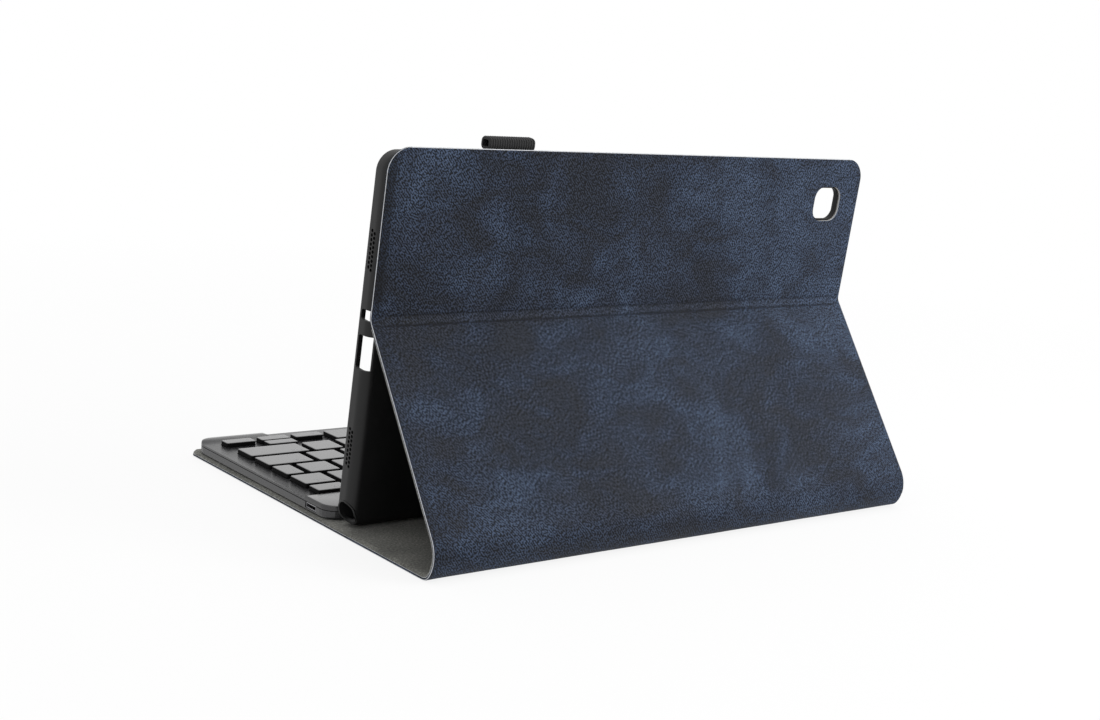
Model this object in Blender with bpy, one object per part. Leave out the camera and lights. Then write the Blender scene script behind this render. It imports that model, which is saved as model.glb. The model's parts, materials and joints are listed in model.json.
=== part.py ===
# Tablet keyboard folio, standing open with its back cover folded into a stand.
# Metres, +Z up, -Y towards the typist, origin under the middle of the footprint.
import math

import bmesh
import bpy

MM = 0.001

# Tablet that the tray is moulded for
TABLET_WIDTH = 245.4 * MM
TABLET_HEIGHT = 142.9 * MM
TABLET_THICKNESS = 6.0 * MM
TABLET_CLEARANCE = 0.3 * MM

# Moulded tray
TRAY_WALL = 1.3 * MM
TRAY_FLOOR = 1.2 * MM
TRAY_LIP = 1.1 * MM
TRAY_LIP_THICKNESS = 0.9 * MM
TRAY_CORNER = 8.0 * MM
TRAY_EDGE_ROUND = 2.0 * MM
CAMERA_WINDOW_WIDTH = 16.2 * MM
CAMERA_WINDOW_HEIGHT = 15.5 * MM
CAMERA_WINDOW_CORNER = 5.5 * MM
CAMERA_FROM_SIDE = 19.6 * MM
CAMERA_FROM_TOP = 20.2 * MM
CHARGE_WINDOW_LENGTH = 13.2 * MM
CHARGE_WINDOW_BELOW_CREASE = 14.2 * MM
JACK_WINDOW_LENGTH = 5.2 * MM
JACK_WINDOW_ABOVE_CREASE = 0.4 * MM
CORNER_WINDOW_LENGTH = 9.0 * MM
CORNER_WINDOW_FROM_FOOT = 1.3 * MM
WINDOW_FLOOR_STEP = 0.2 * MM

# Folio cover: outer skin, stiff board, inner lining
SKIN = 0.8 * MM
BOARD = 0.8 * MM
LINING = 0.5 * MM
LAYER_GAP = 0.1 * MM
BOARD_INSET = 1.2 * MM
PANEL_OVERHANG = 1.7 * MM
UPPER_TOP_MARGIN = 2.8 * MM
UPPER_CORNER = 11.0 * MM
BASE_CORNER = 4.5 * MM
SPINE_LENGTH = 18.4 * MM
FLAP_LENGTH = 84.5 * MM
CREASE_GAP = 0.3 * MM
CREASE_SETBACK = 3.0 * MM
FOLD_RELIEF = 0.6 * MM
SEAT_GAP = 0.3 * MM
SPINE_START_DEG = 41.4
FLAP_LEAN_DEG = 125.0
TRAY_LEAN_DEG = 84.5

# Elastic pen loop on the top edge
LOOP_WIDTH = 21.2 * MM
LOOP_FROM_SIDE = 54.9 * MM
LOOP_RISE = 5.0 * MM
LOOP_DEPTH = 6.0 * MM
LOOP_WALL = 1.2 * MM
LOOP_ROUND = 2.3 * MM
LOOP_TAIL = 14.0 * MM

# Keyboard
KEYBOARD_SIDE_MARGIN = 0.8 * MM
KEYBOARD_FRONT_MARGIN = 4.0 * MM
KEYBOARD_TRAY_GAP = 4.1 * MM
KEYBOARD_CORNER = 7.0 * MM
CASE_WALL = 1.4 * MM
CASE_FLOOR = 0.7 * MM
CASE_EDGE_ROUND = 0.8 * MM
DECK = 0.8 * MM
RIM_RISE = 1.2 * MM
SIDE_RIM = 5.8 * MM
FRONT_RIM = 9.5 * MM
FRONT_HORN_LENGTH = 36.0 * MM
REAR_STRIP = 20.5 * MM
WELL_MARGIN = 1.0 * MM
WELL_CORNER = 3.0 * MM

# Keys
ROW_UNITS = 14
KEY_GAP_X = 3.0 * MM
KEY_GAP_Y = 2.4 * MM
KEY_DEPTH = 13.0 * MM
FUNCTION_KEY_DEPTH = 8.0 * MM
ARROW_SPLIT = 1.2 * MM
KEY_RISE = 2.0 * MM
KEY_TRAVEL = 1.2 * MM
KEY_FLANGE = 0.4 * MM
KEY_FLANGE_REACH = 0.7 * MM
KEY_CHAMFER = 0.5 * MM
KEY_CLEARANCE = 0.35 * MM

# Inside the keyboard
MEMBRANE = 0.3 * MM
CELL_LENGTH = 62.0 * MM
CELL_WIDTH = 11.0 * MM
CELL_THICKNESS = 1.9 * MM
CIRCUIT_LENGTH = 44.0 * MM
CIRCUIT_WIDTH = 11.0 * MM
CIRCUIT_THICKNESS = 0.8 * MM
PORT_WIDTH = 7.6 * MM
PORT_HEIGHT = 2.1 * MM
PORT_LENGTH = 6.0 * MM
PORT_SHELL = 0.35 * MM
PORT_FROM_REAR = 14.0 * MM
SWITCH_FROM_REAR = 10.0 * MM
SWITCH_KNOB_LENGTH = 4.0 * MM
SWITCH_KNOB_HEIGHT = 1.2 * MM
SWITCH_KNOB_REACH = 0.7 * MM
SWITCH_SLIDER_LENGTH = 8.0 * MM
SWITCH_SLIDER_THICKNESS = 0.8 * MM
SWITCH_TRAVEL = 2.5 * MM
LIGHT_RADIUS = 0.8 * MM
LIGHT_SPACING = 5.5 * MM
LIGHT_FROM_SIDE = 15.0 * MM
LIGHT_FROM_REAR = 7.0 * MM
MAGNET_LENGTH = 24.0 * MM
MAGNET_WIDTH = 6.0 * MM
MAGNET_FROM_CELL = 6.0 * MM
MAGNET_FROM_CIRCUIT = 10.9 * MM
FIT = 0.3 * MM
ARC_STEPS = 6
CUT_OVERRUN = 2.0 * MM

# Key rows from the rear: depth, the keys carried by one bank from the left
# end, in key units, then the single keys up to the right end.
KEY_ROWS = (
    ("function", FUNCTION_KEY_DEPTH, (1,) * 12, (("key_f12", 1), ("key_delete", 1))),
    ("number", KEY_DEPTH, (1,) * 11, (("key_minus", 1), ("key_equals", 1), ("key_backspace", 1))),
    ("upper", KEY_DEPTH, (1.34,) + (1,) * 9,
     (("key_p", 1), ("key_bracket_left", 1), ("key_bracket_right", 1), ("key_backslash", 0.66))),
    ("home", KEY_DEPTH, (1.56,) + (1,) * 8,
     (("key_l", 1), ("key_semicolon", 1), ("key_quote", 1), ("key_enter", 1.44))),
    ("lower", KEY_DEPTH, (2.17,) + (1,) * 8,
     (("key_period", 1), ("key_slash", 1), ("key_shift_right", 1.83))),
    ("bottom", KEY_DEPTH, (1,) * 4,
     (("key_space", 5), ("key_alt_right", 1), ("key_control_right", 1), ("/key_arrow_left", 1),
      ("key_arrow_up/key_arrow_down", 1), ("/key_arrow_right", 1))),
)

# Worked out from the sizes above
COVER = SKIN + BOARD + LINING + 2 * LAYER_GAP
BOARD_LEVEL = SKIN + LAYER_GAP
LINING_LEVEL = BOARD_LEVEL + BOARD + LAYER_GAP
TRAY_LEVEL = COVER + SEAT_GAP
TRAY_WIDTH = TABLET_WIDTH + 2 * (TABLET_CLEARANCE + TRAY_WALL)
TRAY_HEIGHT = TABLET_HEIGHT + 2 * (TABLET_CLEARANCE + TRAY_WALL)
TRAY_DEPTH = TRAY_FLOOR + TABLET_THICKNESS + TABLET_CLEARANCE + TRAY_LIP_THICKNESS
HALF_CASE = TRAY_WIDTH / 2 + PANEL_OVERHANG

SPINE_START = math.radians(SPINE_START_DEG)
FLAP_LEAN = math.radians(FLAP_LEAN_DEG)
TRAY_LEAN = math.radians(TRAY_LEAN_DEG)
SPINE_RADIUS = SPINE_LENGTH / (FLAP_LEAN - SPINE_START)


def spine_point(tangent, depth=0.0):
    """Point of the spine's arc (y, z) from its fold, at a tangent angle and a depth inside the skin."""
    y = SPINE_RADIUS * (math.sin(tangent) - math.sin(SPINE_START)) - depth * math.sin(tangent)
    z = SPINE_RADIUS * (math.cos(SPINE_START) - math.cos(tangent)) + depth * math.cos(tangent)
    return y, z


FLAP_FOOT = spine_point(FLAP_LEAN)
CREASE = (FLAP_FOOT[0] + FLAP_LENGTH * math.cos(FLAP_LEAN), FLAP_FOOT[1] + FLAP_LENGTH * math.sin(FLAP_LEAN))
# The tray's rounded back edge stands just above the lining
TRAY_FOOT = TRAY_EDGE_ROUND + (
    CREASE[1] + (TRAY_LEVEL + TRAY_EDGE_ROUND) * math.cos(TRAY_LEAN) - TRAY_EDGE_ROUND - COVER - SEAT_GAP
) / math.sin(TRAY_LEAN)
TRAY_TOP = TRAY_HEIGHT - TRAY_FOOT
UPPER_LENGTH = TRAY_TOP + UPPER_TOP_MARGIN
TRAY_FRONT = CREASE[0] - TRAY_FOOT * math.cos(TRAY_LEAN) - (TRAY_LEVEL + TRAY_DEPTH) * math.sin(TRAY_LEAN)

KEYBOARD_WIDTH = 2 * (HALF_CASE - KEYBOARD_SIDE_MARGIN)
KEYBOARD_DEPTH = REAR_STRIP + FRONT_RIM + sum(row[1] for row in KEY_ROWS) + KEY_GAP_Y * (len(KEY_ROWS) - 1)
BASE_DEPTH = KEYBOARD_FRONT_MARGIN + KEYBOARD_DEPTH + KEYBOARD_TRAY_GAP - TRAY_FRONT
SPINE_BULGE = spine_point(math.pi / 2)[0]
FOLD_Y = (BASE_DEPTH - SPINE_BULGE) / 2
KEYBOARD_Y = FOLD_Y - BASE_DEPTH + KEYBOARD_FRONT_MARGIN + KEYBOARD_DEPTH / 2
KEYBOARD_Z = COVER + SEAT_GAP
KEY_UNIT = (KEYBOARD_WIDTH - 2 * SIDE_RIM) / ROW_UNITS

# Levels above the keyboard's underside
MEMBRANE_LEVEL = CASE_FLOOR + FIT
KEY_BOTTOM = MEMBRANE_LEVEL + MEMBRANE + FIT + KEY_TRAVEL
DECK_BOTTOM = KEY_BOTTOM + KEY_FLANGE + FIT
DECK_TOP = DECK_BOTTOM + DECK
RIM_TOP = DECK_TOP + RIM_RISE
CASE_WALL_TOP = DECK_BOTTOM - FIT
KEYS_REAR = KEYBOARD_DEPTH / 2 - REAR_STRIP
KEYS_FRONT = FRONT_RIM - KEYBOARD_DEPTH / 2
INNER_HALF = KEYBOARD_WIDTH / 2 - CASE_WALL
STRIP_MIDDLE = (KEYS_REAR + KEYBOARD_DEPTH / 2 - CASE_WALL) / 2
# Along the rear strip from the right end: port, circuit board, magnet, cell, magnet
PORT_END = KEYBOARD_WIDTH / 2 - FIT
PORT_START = PORT_END - PORT_LENGTH
CIRCUIT_X = PORT_START - FIT - CIRCUIT_LENGTH / 2
MAGNET_RIGHT_X = CIRCUIT_X - CIRCUIT_LENGTH / 2 - MAGNET_FROM_CIRCUIT - MAGNET_LENGTH / 2
CELL_X = MAGNET_RIGHT_X - MAGNET_LENGTH / 2 - MAGNET_FROM_CELL - CELL_LENGTH / 2
MAGNET_LEFT_X = 2 * CELL_X - MAGNET_RIGHT_X
MAGNETS = (("left", MAGNET_LEFT_X), ("right", MAGNET_RIGHT_X))

COLOURS = {
    "blue_leather": ((0.030, 0.048, 0.085), 0.62, 0.0),
    "grey_board": ((0.32, 0.31, 0.29), 0.9, 0.0),
    "grey_lining": ((0.12, 0.12, 0.115), 0.9, 0.0),
    "black_tray": ((0.012, 0.012, 0.013), 0.5, 0.0),
    "black_elastic": ((0.014, 0.014, 0.016), 0.85, 0.0),
    "black_case": ((0.03, 0.03, 0.032), 0.42, 0.0),
    "black_keys": ((0.05, 0.05, 0.053), 0.45, 0.0),
    "clear_film": ((0.35, 0.36, 0.33), 0.4, 0.0),
    "green_board": ((0.02, 0.12, 0.05), 0.5, 0.0),
    "foil_cell": ((0.55, 0.56, 0.58), 0.35, 0.6),
    "plated_steel": ((0.6, 0.6, 0.6), 0.3, 1.0),
    "clear_lens": ((0.5, 0.52, 0.55), 0.2, 0.0),
}


def clear_scene():
    for obj in list(bpy.data.objects):
        bpy.data.objects.remove(obj, do_unlink=True)


def make_material(name):
    known = bpy.data.materials.get(name)
    if known:
        return known
    colour, roughness, metallic = COLOURS[name]
    made = bpy.data.materials.new(name)
    made.use_nodes = True
    shader = made.node_tree.nodes["Principled BSDF"]
    shader.inputs["Base Color"].default_value = (*colour, 1.0)
    shader.inputs["Roughness"].default_value = roughness
    shader.inputs["Metallic"].default_value = metallic
    return made


def add_pivot(name, y, z, lean=0.0):
    """Empty on a joint's line: its +Y runs along the panel and its +Z points inwards."""
    pivot = bpy.data.objects.new(name, None)
    pivot.location = (0.0, y, z)
    pivot.rotation_euler = (lean, 0.0, 0.0)
    bpy.context.scene.collection.objects.link(pivot)
    return pivot


def rounded_outline(x0, x1, y0, y1, radii):
    """Rectangle with a radius for each corner: low-low, high-low, high-high, low-high."""
    points = []
    corners = ((x0, y0, 180), (x1, y0, 270), (x1, y1, 0), (x0, y1, 90))
    for (x, y, start), radius in zip(corners, radii):
        if radius <= 0:
            points.append((x, y))
            continue
        cx = x + radius if x == x0 else x - radius
        cy = y + radius if y == y0 else y - radius
        for step in range(ARC_STEPS + 1):
            turn = math.radians(start + 90 * step / ARC_STEPS)
            points.append((cx + radius * math.cos(turn), cy + radius * math.sin(turn)))
    return points


def prism(outline, low, high, axis="Z"):
    """Closed solid: a flat outline pushed along one axis."""
    place = {
        "X": lambda a, b, h: (h, a, b),
        "Y": lambda a, b, h: (a, h, b),
        "Z": lambda a, b, h: (a, b, h),
    }[axis]
    solid = bmesh.new()
    lower = [solid.verts.new(place(a, b, low)) for a, b in outline]
    upper = [solid.verts.new(place(a, b, high)) for a, b in outline]
    solid.faces.new(lower)
    solid.faces.new(upper)
    count = len(outline)
    for i in range(count):
        j = (i + 1) % count
        solid.faces.new((lower[i], lower[j], upper[j], upper[i]))
    bmesh.ops.recalc_face_normals(solid, faces=solid.faces[:])
    return solid


def box(x0, x1, y0, y1, z0, z1):
    return prism(((x0, y0), (x1, y0), (x1, y1), (x0, y1)), z0, z1)


def join_solids(solids):
    """One mesh that holds several separate solids, for use as a cutter."""
    joined = bmesh.new()
    scratch = bpy.data.meshes.new("scratch")
    for solid in solids:
        solid.to_mesh(scratch)
        solid.free()
        joined.from_mesh(scratch)
    bpy.data.meshes.remove(scratch)
    return joined


def round_edges_at(solid, level, radius):
    """Round the outline's edges that lie at one height."""
    edges = [e for e in solid.edges if all(abs(v.co.z - level) < radius / 10 for v in e.verts)]
    bmesh.ops.bevel(solid, geom=edges, offset=radius, segments=3, profile=0.5, affect="EDGES")


def add_object(name, solid, parent, location):
    mesh = bpy.data.meshes.new(name)
    solid.to_mesh(mesh)
    solid.free()
    mesh.shade_smooth()
    mesh.set_sharp_from_angle(angle=math.radians(35))
    obj = bpy.data.objects.new(name, mesh)
    obj.parent = parent
    obj.location = location
    bpy.context.scene.collection.objects.link(obj)
    return obj


def add_part(name, solid, finish, parent, location=(0.0, 0.0, 0.0)):
    obj = add_object(name, solid, parent, location)
    obj.data.materials.append(make_material(finish))
    return obj


def cut(targets, name, solid, parent):
    cutter = add_object(name, solid, parent, (0.0, 0.0, 0.0))
    cutter.hide_render = True
    cutter.display_type = "WIRE"
    for target in targets:
        modifier = target.modifiers.new(name, "BOOLEAN")
        modifier.operation = "DIFFERENCE"
        modifier.solver = "EXACT"
        modifier.object = cutter


def cover_layers(name, pivot, y0, y1, radii, board_ends, inner_name):
    """Skin, board and inner layer of one flat panel; the two inner layers stop short of its folds."""
    near, far = board_ends
    skin = prism(rounded_outline(-HALF_CASE, HALF_CASE, y0, y1, radii), 0.0, SKIN)
    inset = HALF_CASE - BOARD_INSET
    board_radii = [max(r - BOARD_INSET, 0.0) for r in radii]
    board = prism(rounded_outline(-inset, inset, near, far, board_radii), BOARD_LEVEL, BOARD_LEVEL + BOARD)
    inner = prism(rounded_outline(-inset, inset, near, far, board_radii), LINING_LEVEL, COVER)
    return (
        add_part(name + "_skin", skin, "blue_leather", pivot),
        add_part(name + "_board", board, "grey_board", pivot),
        add_part(inner_name, inner, "grey_lining", pivot),
    )


def build_base(fold):
    radii = (BASE_CORNER, BASE_CORNER, 0.0, 0.0)
    ends = (BOARD_INSET - BASE_DEPTH, -CREASE_SETBACK)
    _, board, _ = cover_layers("base", fold, -BASE_DEPTH, -CREASE_GAP, radii, ends, "base_lining")
    y = KEYBOARD_Y - FOLD_Y + STRIP_MIDDLE
    for label, x in MAGNETS:
        half_x = MAGNET_LENGTH / 2
        half_y = MAGNET_WIDTH / 2
        pocket = box(x - half_x - FIT, x + half_x + FIT, y - half_y - FIT, y + half_y + FIT,
                     BOARD_LEVEL - BOARD, BOARD_LEVEL + 2 * BOARD)
        cut([board], "base_magnet_pocket_" + label, pocket, fold)
        magnet = box(x - half_x, x + half_x, y - half_y, y + half_y, BOARD_LEVEL, BOARD_LEVEL + BOARD)
        add_part("base_magnet_" + label, magnet, "plated_steel", fold)


def build_spine(fold):
    def strip(start, end, low, high):
        first = SPINE_START + start / SPINE_RADIUS
        last = FLAP_LEAN - end / SPINE_RADIUS
        turns = [first + (last - first) * i / (2 * ARC_STEPS) for i in range(2 * ARC_STEPS + 1)]
        outer = [spine_point(t, low) for t in turns]
        inner = [spine_point(t, high) for t in reversed(turns)]
        return outer + inner

    inset = HALF_CASE - BOARD_INSET
    skin = prism(strip(FOLD_RELIEF, CREASE_GAP / 2, 0.0, SKIN), -HALF_CASE, HALF_CASE, "X")
    add_part("spine_skin", skin, "blue_leather", fold)
    stiffener = strip(CREASE_SETBACK, CREASE_SETBACK, BOARD_LEVEL, BOARD_LEVEL + BOARD)
    add_part("spine_stiffener", prism(stiffener, -inset, inset, "X"), "grey_board", fold)
    lining = strip(CREASE_SETBACK, CREASE_SETBACK, LINING_LEVEL, COVER)
    add_part("spine_lining", prism(lining, -inset, inset, "X"), "grey_lining", fold)


def build_flap(pivot):
    ends = (CREASE_SETBACK, FLAP_LENGTH - CREASE_SETBACK)
    square = (0.0, 0.0, 0.0, 0.0)
    cover_layers("flap", pivot, CREASE_GAP / 2, FLAP_LENGTH - CREASE_GAP / 2, square, ends, "flap_lining")


def build_tray(pivot):
    half = TRAY_WIDTH / 2
    top = TRAY_LEVEL + TRAY_DEPTH

    def inset_outline(inset):
        radius = max(TRAY_CORNER - inset, TRAY_WALL)
        return rounded_outline(inset - half, half - inset, inset - TRAY_FOOT, TRAY_TOP - inset, (radius,) * 4)

    shell = prism(inset_outline(0.0), TRAY_LEVEL, top)
    round_edges_at(shell, TRAY_LEVEL, TRAY_EDGE_ROUND)
    tray = add_part("tablet_tray", shell, "black_tray", pivot)
    floor = TRAY_LEVEL + TRAY_FLOOR
    lip = top - TRAY_LIP_THICKNESS
    cut([tray], "tray_cavity", prism(inset_outline(TRAY_WALL), floor, lip), pivot)
    mouth = prism(inset_outline(TRAY_WALL + TRAY_LIP), lip - TABLET_THICKNESS / 2, top + CUT_OVERRUN)
    cut([tray], "tray_mouth", mouth, pivot)
    windows = (
        ("charge", -CHARGE_WINDOW_BELOW_CREASE - CHARGE_WINDOW_LENGTH / 2, CHARGE_WINDOW_LENGTH),
        ("jack", JACK_WINDOW_ABOVE_CREASE - JACK_WINDOW_LENGTH / 2, JACK_WINDOW_LENGTH),
        ("corner", CORNER_WINDOW_FROM_FOOT - TRAY_FOOT, CORNER_WINDOW_LENGTH),
    )
    for name, low, length in windows:
        window = box(half - TRAY_CORNER, half + CUT_OVERRUN, low, low + length,
                     floor + WINDOW_FLOOR_STEP, lip - WINDOW_FLOOR_STEP)
        cut([tray], name + "_window", window, pivot)
    return tray


def build_upper(pivot):
    radii = (0.0, 0.0, UPPER_CORNER, UPPER_CORNER)
    ends = (CREASE_SETBACK, UPPER_LENGTH - BOARD_INSET)
    layers = cover_layers("upper_back", pivot, CREASE_GAP / 2, UPPER_LENGTH, radii, ends,
                          "tray_bonding_sheet")
    tray = build_tray(pivot)
    x = CAMERA_FROM_SIDE - HALF_CASE
    y = UPPER_LENGTH - CAMERA_FROM_TOP
    outline = rounded_outline(x - CAMERA_WINDOW_WIDTH / 2, x + CAMERA_WINDOW_WIDTH / 2,
                              y - CAMERA_WINDOW_HEIGHT / 2, y + CAMERA_WINDOW_HEIGHT / 2,
                              (CAMERA_WINDOW_CORNER,) * 4)
    window = prism(outline, -CUT_OVERRUN, TRAY_LEVEL + TRAY_FLOOR + CUT_OVERRUN)
    cut([*layers, tray], "camera_window", window, pivot)
    build_pen_loop(pivot, layers[1])


def build_pen_loop(pivot, board):
    x = HALF_CASE - LOOP_FROM_SIDE
    half = LOOP_WIDTH / 2
    bottom = UPPER_LENGTH - BOARD_INSET + FIT
    top = bottom + LOOP_RISE
    back = BOARD_LEVEL
    front = back + LOOP_DEPTH
    tail = UPPER_LENGTH - LOOP_TAIL
    bend = min(LOOP_ROUND, (LOOP_RISE - LOOP_WALL) / 2)
    ring = rounded_outline(bottom, top, back, front, (0.0, bend, bend, bend))
    # The ring's square corner runs down into the flat tail, which lies in a notch of the board
    outline = [(tail, back)] + ring[1:] + [(bottom, back + BOARD), (tail, back + BOARD)]
    loop = add_part("pen_loop", prism(outline, x - half, x + half, "X"), "black_elastic", pivot)
    inner = min(bend - LOOP_WALL / 2, (LOOP_RISE - 2 * LOOP_WALL) / 3)
    hole = rounded_outline(bottom + LOOP_WALL, top - LOOP_WALL, back + LOOP_WALL, front - LOOP_WALL,
                           (inner,) * 4)
    cut([loop], "pen_hole", prism(hole, x - half - CUT_OVERRUN, x + half + CUT_OVERRUN, "X"), pivot)
    notch = box(x - half - FIT, x + half + FIT, tail - FIT, UPPER_LENGTH + CUT_OVERRUN,
                BOARD_LEVEL - BOARD, BOARD_LEVEL + 2 * BOARD)
    cut([board], "pen_loop_notch", notch, pivot)


def key_cells():
    """Every key: row, cell name or None when the row's bank carries it, and its edges."""
    rear = KEYS_REAR
    for row, depth, banked, singles in KEY_ROWS:
        front = rear - depth
        left = -ROW_UNITS * KEY_UNIT / 2
        for name, units in [(None, units) for units in banked] + list(singles):
            right = left + units * KEY_UNIT
            low, high = left + KEY_GAP_X / 2, right - KEY_GAP_X / 2
            if name and "/" in name:
                half = (depth - ARROW_SPLIT) / 2
                upper, lower = name.split("/")
                if upper:
                    yield row, upper, low, high, rear - half, rear
                yield row, lower, low, high, front, front + half
            else:
                yield row, name, low, high, front, rear
            left = right
        rear = front - KEY_GAP_Y


def key_profile(spans):
    """Side view of one key, or of a bank of keys on a common web, as (x, z) points."""
    web = KEY_BOTTOM + KEY_FLANGE
    top = DECK_TOP + KEY_RISE
    start = spans[0][0] - KEY_FLANGE_REACH
    end = spans[-1][1] + KEY_FLANGE_REACH
    points = [(end, web), (end, KEY_BOTTOM), (start, KEY_BOTTOM), (start, web)]
    for low, high in spans:
        points += [(low, web), (low, top - KEY_CHAMFER), (low + KEY_CHAMFER, top),
                   (high - KEY_CHAMFER, top), (high, top - KEY_CHAMFER), (high, web)]
    return points


def build_keys(seat):
    cells = list(key_cells())
    for row in [row[0] for row in KEY_ROWS]:
        banked = [cell for cell in cells if cell[0] == row and cell[1] is None]
        groups = [("key_bank_" + row, banked)]
        groups += [(cell[1], [cell]) for cell in cells if cell[0] == row and cell[1]]
        for name, group in groups:
            middle_x = (group[0][2] + group[-1][3]) / 2
            middle_y = (group[0][4] + group[0][5]) / 2
            half = (group[0][5] - group[0][4]) / 2
            spans = [(cell[2] - middle_x, cell[3] - middle_x) for cell in group]
            solid = prism(key_profile(spans), -half, half, "Y")
            add_part(name, solid, "black_keys", seat, (middle_x, middle_y, 0.0))
    return cells


def build_cases(seat, cells):
    half_x, half_y = KEYBOARD_WIDTH / 2, KEYBOARD_DEPTH / 2
    outer = rounded_outline(-half_x, half_x, -half_y, half_y, (KEYBOARD_CORNER,) * 4)
    inner = rounded_outline(-INNER_HALF, INNER_HALF, CASE_WALL - half_y, half_y - CASE_WALL,
                            (KEYBOARD_CORNER - CASE_WALL,) * 4)
    lower = prism(outer, 0.0, CASE_WALL_TOP)
    round_edges_at(lower, 0.0, CASE_EDGE_ROUND)
    bottom_case = add_part("keyboard_bottom_case", lower, "black_case", seat)
    cut([bottom_case], "case_cavity", prism(inner, CASE_FLOOR, CASE_WALL_TOP + CUT_OVERRUN), seat)

    upper = prism(outer, DECK_BOTTOM, RIM_TOP)
    round_edges_at(upper, RIM_TOP, CASE_EDGE_ROUND)
    top_case = add_part("keyboard_top_case", upper, "black_case", seat)
    # The sides lie level with the deck between the raised front corners and the raised rear strip
    well = box(-half_x - CUT_OVERRUN, half_x + CUT_OVERRUN, KEYS_FRONT - WELL_MARGIN, KEYS_REAR + WELL_MARGIN,
               DECK_TOP, RIM_TOP + CUT_OVERRUN)
    cut([top_case], "key_well", well, seat)
    # The front rim is low between two raised corners
    low_rim = box(FRONT_HORN_LENGTH - half_x, half_x - FRONT_HORN_LENGTH,
                  -half_y - CUT_OVERRUN, KEYS_FRONT, DECK_TOP, RIM_TOP + CUT_OVERRUN)
    cut([top_case], "front_rim_step", low_rim, seat)
    holes = [box(low - KEY_CLEARANCE, high + KEY_CLEARANCE, front - KEY_CLEARANCE, rear + KEY_CLEARANCE,
                 DECK_BOTTOM - DECK, DECK_TOP + DECK / 2) for _, _, low, high, front, rear in cells]
    cut([top_case], "key_windows", join_solids(holes), seat)
    return bottom_case, top_case


def build_membrane(seat):
    x = INNER_HALF - FIT - CASE_WALL
    membrane = rounded_outline(-x, x, KEYS_FRONT - KEY_CLEARANCE, KEYS_REAR, (WELL_CORNER,) * 4)
    add_part("key_membrane", prism(membrane, MEMBRANE_LEVEL, MEMBRANE_LEVEL + MEMBRANE), "clear_film", seat)


def build_electronics(seat, bottom_case):
    def lay(name, x, y, length, width, low, thickness, finish):
        solid = box(-length / 2, length / 2, -width / 2, width / 2, low, low + thickness)
        return add_part(name, solid, finish, seat, (x, y, 0.0))

    level = MEMBRANE_LEVEL
    lay("battery", CELL_X, STRIP_MIDDLE, CELL_LENGTH, CELL_WIDTH, level, CELL_THICKNESS, "foil_cell")
    for label, x in MAGNETS:
        lay("keyboard_magnet_" + label, x, STRIP_MIDDLE, MAGNET_LENGTH, MAGNET_WIDTH, level, BOARD,
            "plated_steel")

    port_y = KEYBOARD_DEPTH / 2 - PORT_FROM_REAR
    port_half = PORT_WIDTH / 2
    lay("circuit_board", CIRCUIT_X, STRIP_MIDDLE, CIRCUIT_LENGTH, CIRCUIT_WIDTH, level, CIRCUIT_THICKNESS,
        "green_board")
    shell = box(PORT_START, PORT_END, port_y - port_half, port_y + port_half, level, level + PORT_HEIGHT)
    port = add_part("charging_port", shell, "plated_steel", seat)
    mouth = box(PORT_START + PORT_SHELL, PORT_END + CUT_OVERRUN, port_y - port_half + PORT_SHELL,
                port_y + port_half - PORT_SHELL, level + PORT_SHELL, level + PORT_HEIGHT - PORT_SHELL)
    cut([port], "port_mouth", mouth, seat)
    opening = box(INNER_HALF - CUT_OVERRUN, KEYBOARD_WIDTH / 2 + CUT_OVERRUN, port_y - port_half - FIT,
                  port_y + port_half + FIT, level - FIT / 2, CASE_WALL_TOP + CUT_OVERRUN)
    cut([bottom_case], "port_opening", opening, seat)


def build_switch(seat, bottom_case):
    """Sliding power switch in the left wall: a slider inside and a knob through the slot."""
    wall = -KEYBOARD_WIDTH / 2
    y = KEYBOARD_DEPTH / 2 - SWITCH_FROM_REAR - SWITCH_SLIDER_LENGTH / 2
    inside = wall + CASE_WALL + FIT
    back = inside + SWITCH_SLIDER_THICKNESS
    knob_end = wall - SWITCH_KNOB_REACH
    knob = SWITCH_KNOB_LENGTH / 2
    slider = SWITCH_SLIDER_LENGTH / 2
    outline = ((back, -slider), (back, slider), (inside, slider), (inside, knob),
               (knob_end, knob), (knob_end, -knob), (inside, -knob), (inside, -slider))
    low = MEMBRANE_LEVEL + FIT
    high = low + SWITCH_KNOB_HEIGHT
    add_part("power_switch", prism(outline, low, high), "black_case", seat, (0.0, y, 0.0))
    slot = box(knob_end - CUT_OVERRUN, inside + CUT_OVERRUN, y - knob - FIT - SWITCH_TRAVEL,
               y + knob + FIT, low - FIT, high + FIT)
    cut([bottom_case], "switch_slot", slot, seat)


def build_lights(seat, top_case):
    x = KEYBOARD_WIDTH / 2 - LIGHT_FROM_SIDE
    for index in range(2):
        y = KEYBOARD_DEPTH / 2 - LIGHT_FROM_REAR - index * LIGHT_SPACING

        def disc(radius, low, high):
            square = rounded_outline(-radius, radius, -radius, radius, (radius,) * 4)
            outline = [point for i, point in enumerate(square) if i % (ARC_STEPS + 1)]
            return prism([(x + a, y + b) for a, b in outline], low, high)

        lens = disc(LIGHT_RADIUS, DECK_BOTTOM + FIT, RIM_TOP)
        add_part("status_light_%d" % (index + 1), lens, "clear_lens", seat)
        hole = disc(LIGHT_RADIUS + FIT, DECK_BOTTOM - CUT_OVERRUN, RIM_TOP + CUT_OVERRUN)
        cut([top_case], "status_light_hole_%d" % (index + 1), hole, seat)


def build_keyboard(seat):
    cells = build_keys(seat)
    bottom_case, top_case = build_cases(seat, cells)
    build_membrane(seat)
    build_electronics(seat, bottom_case)
    build_switch(seat, bottom_case)
    build_lights(seat, top_case)


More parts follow.
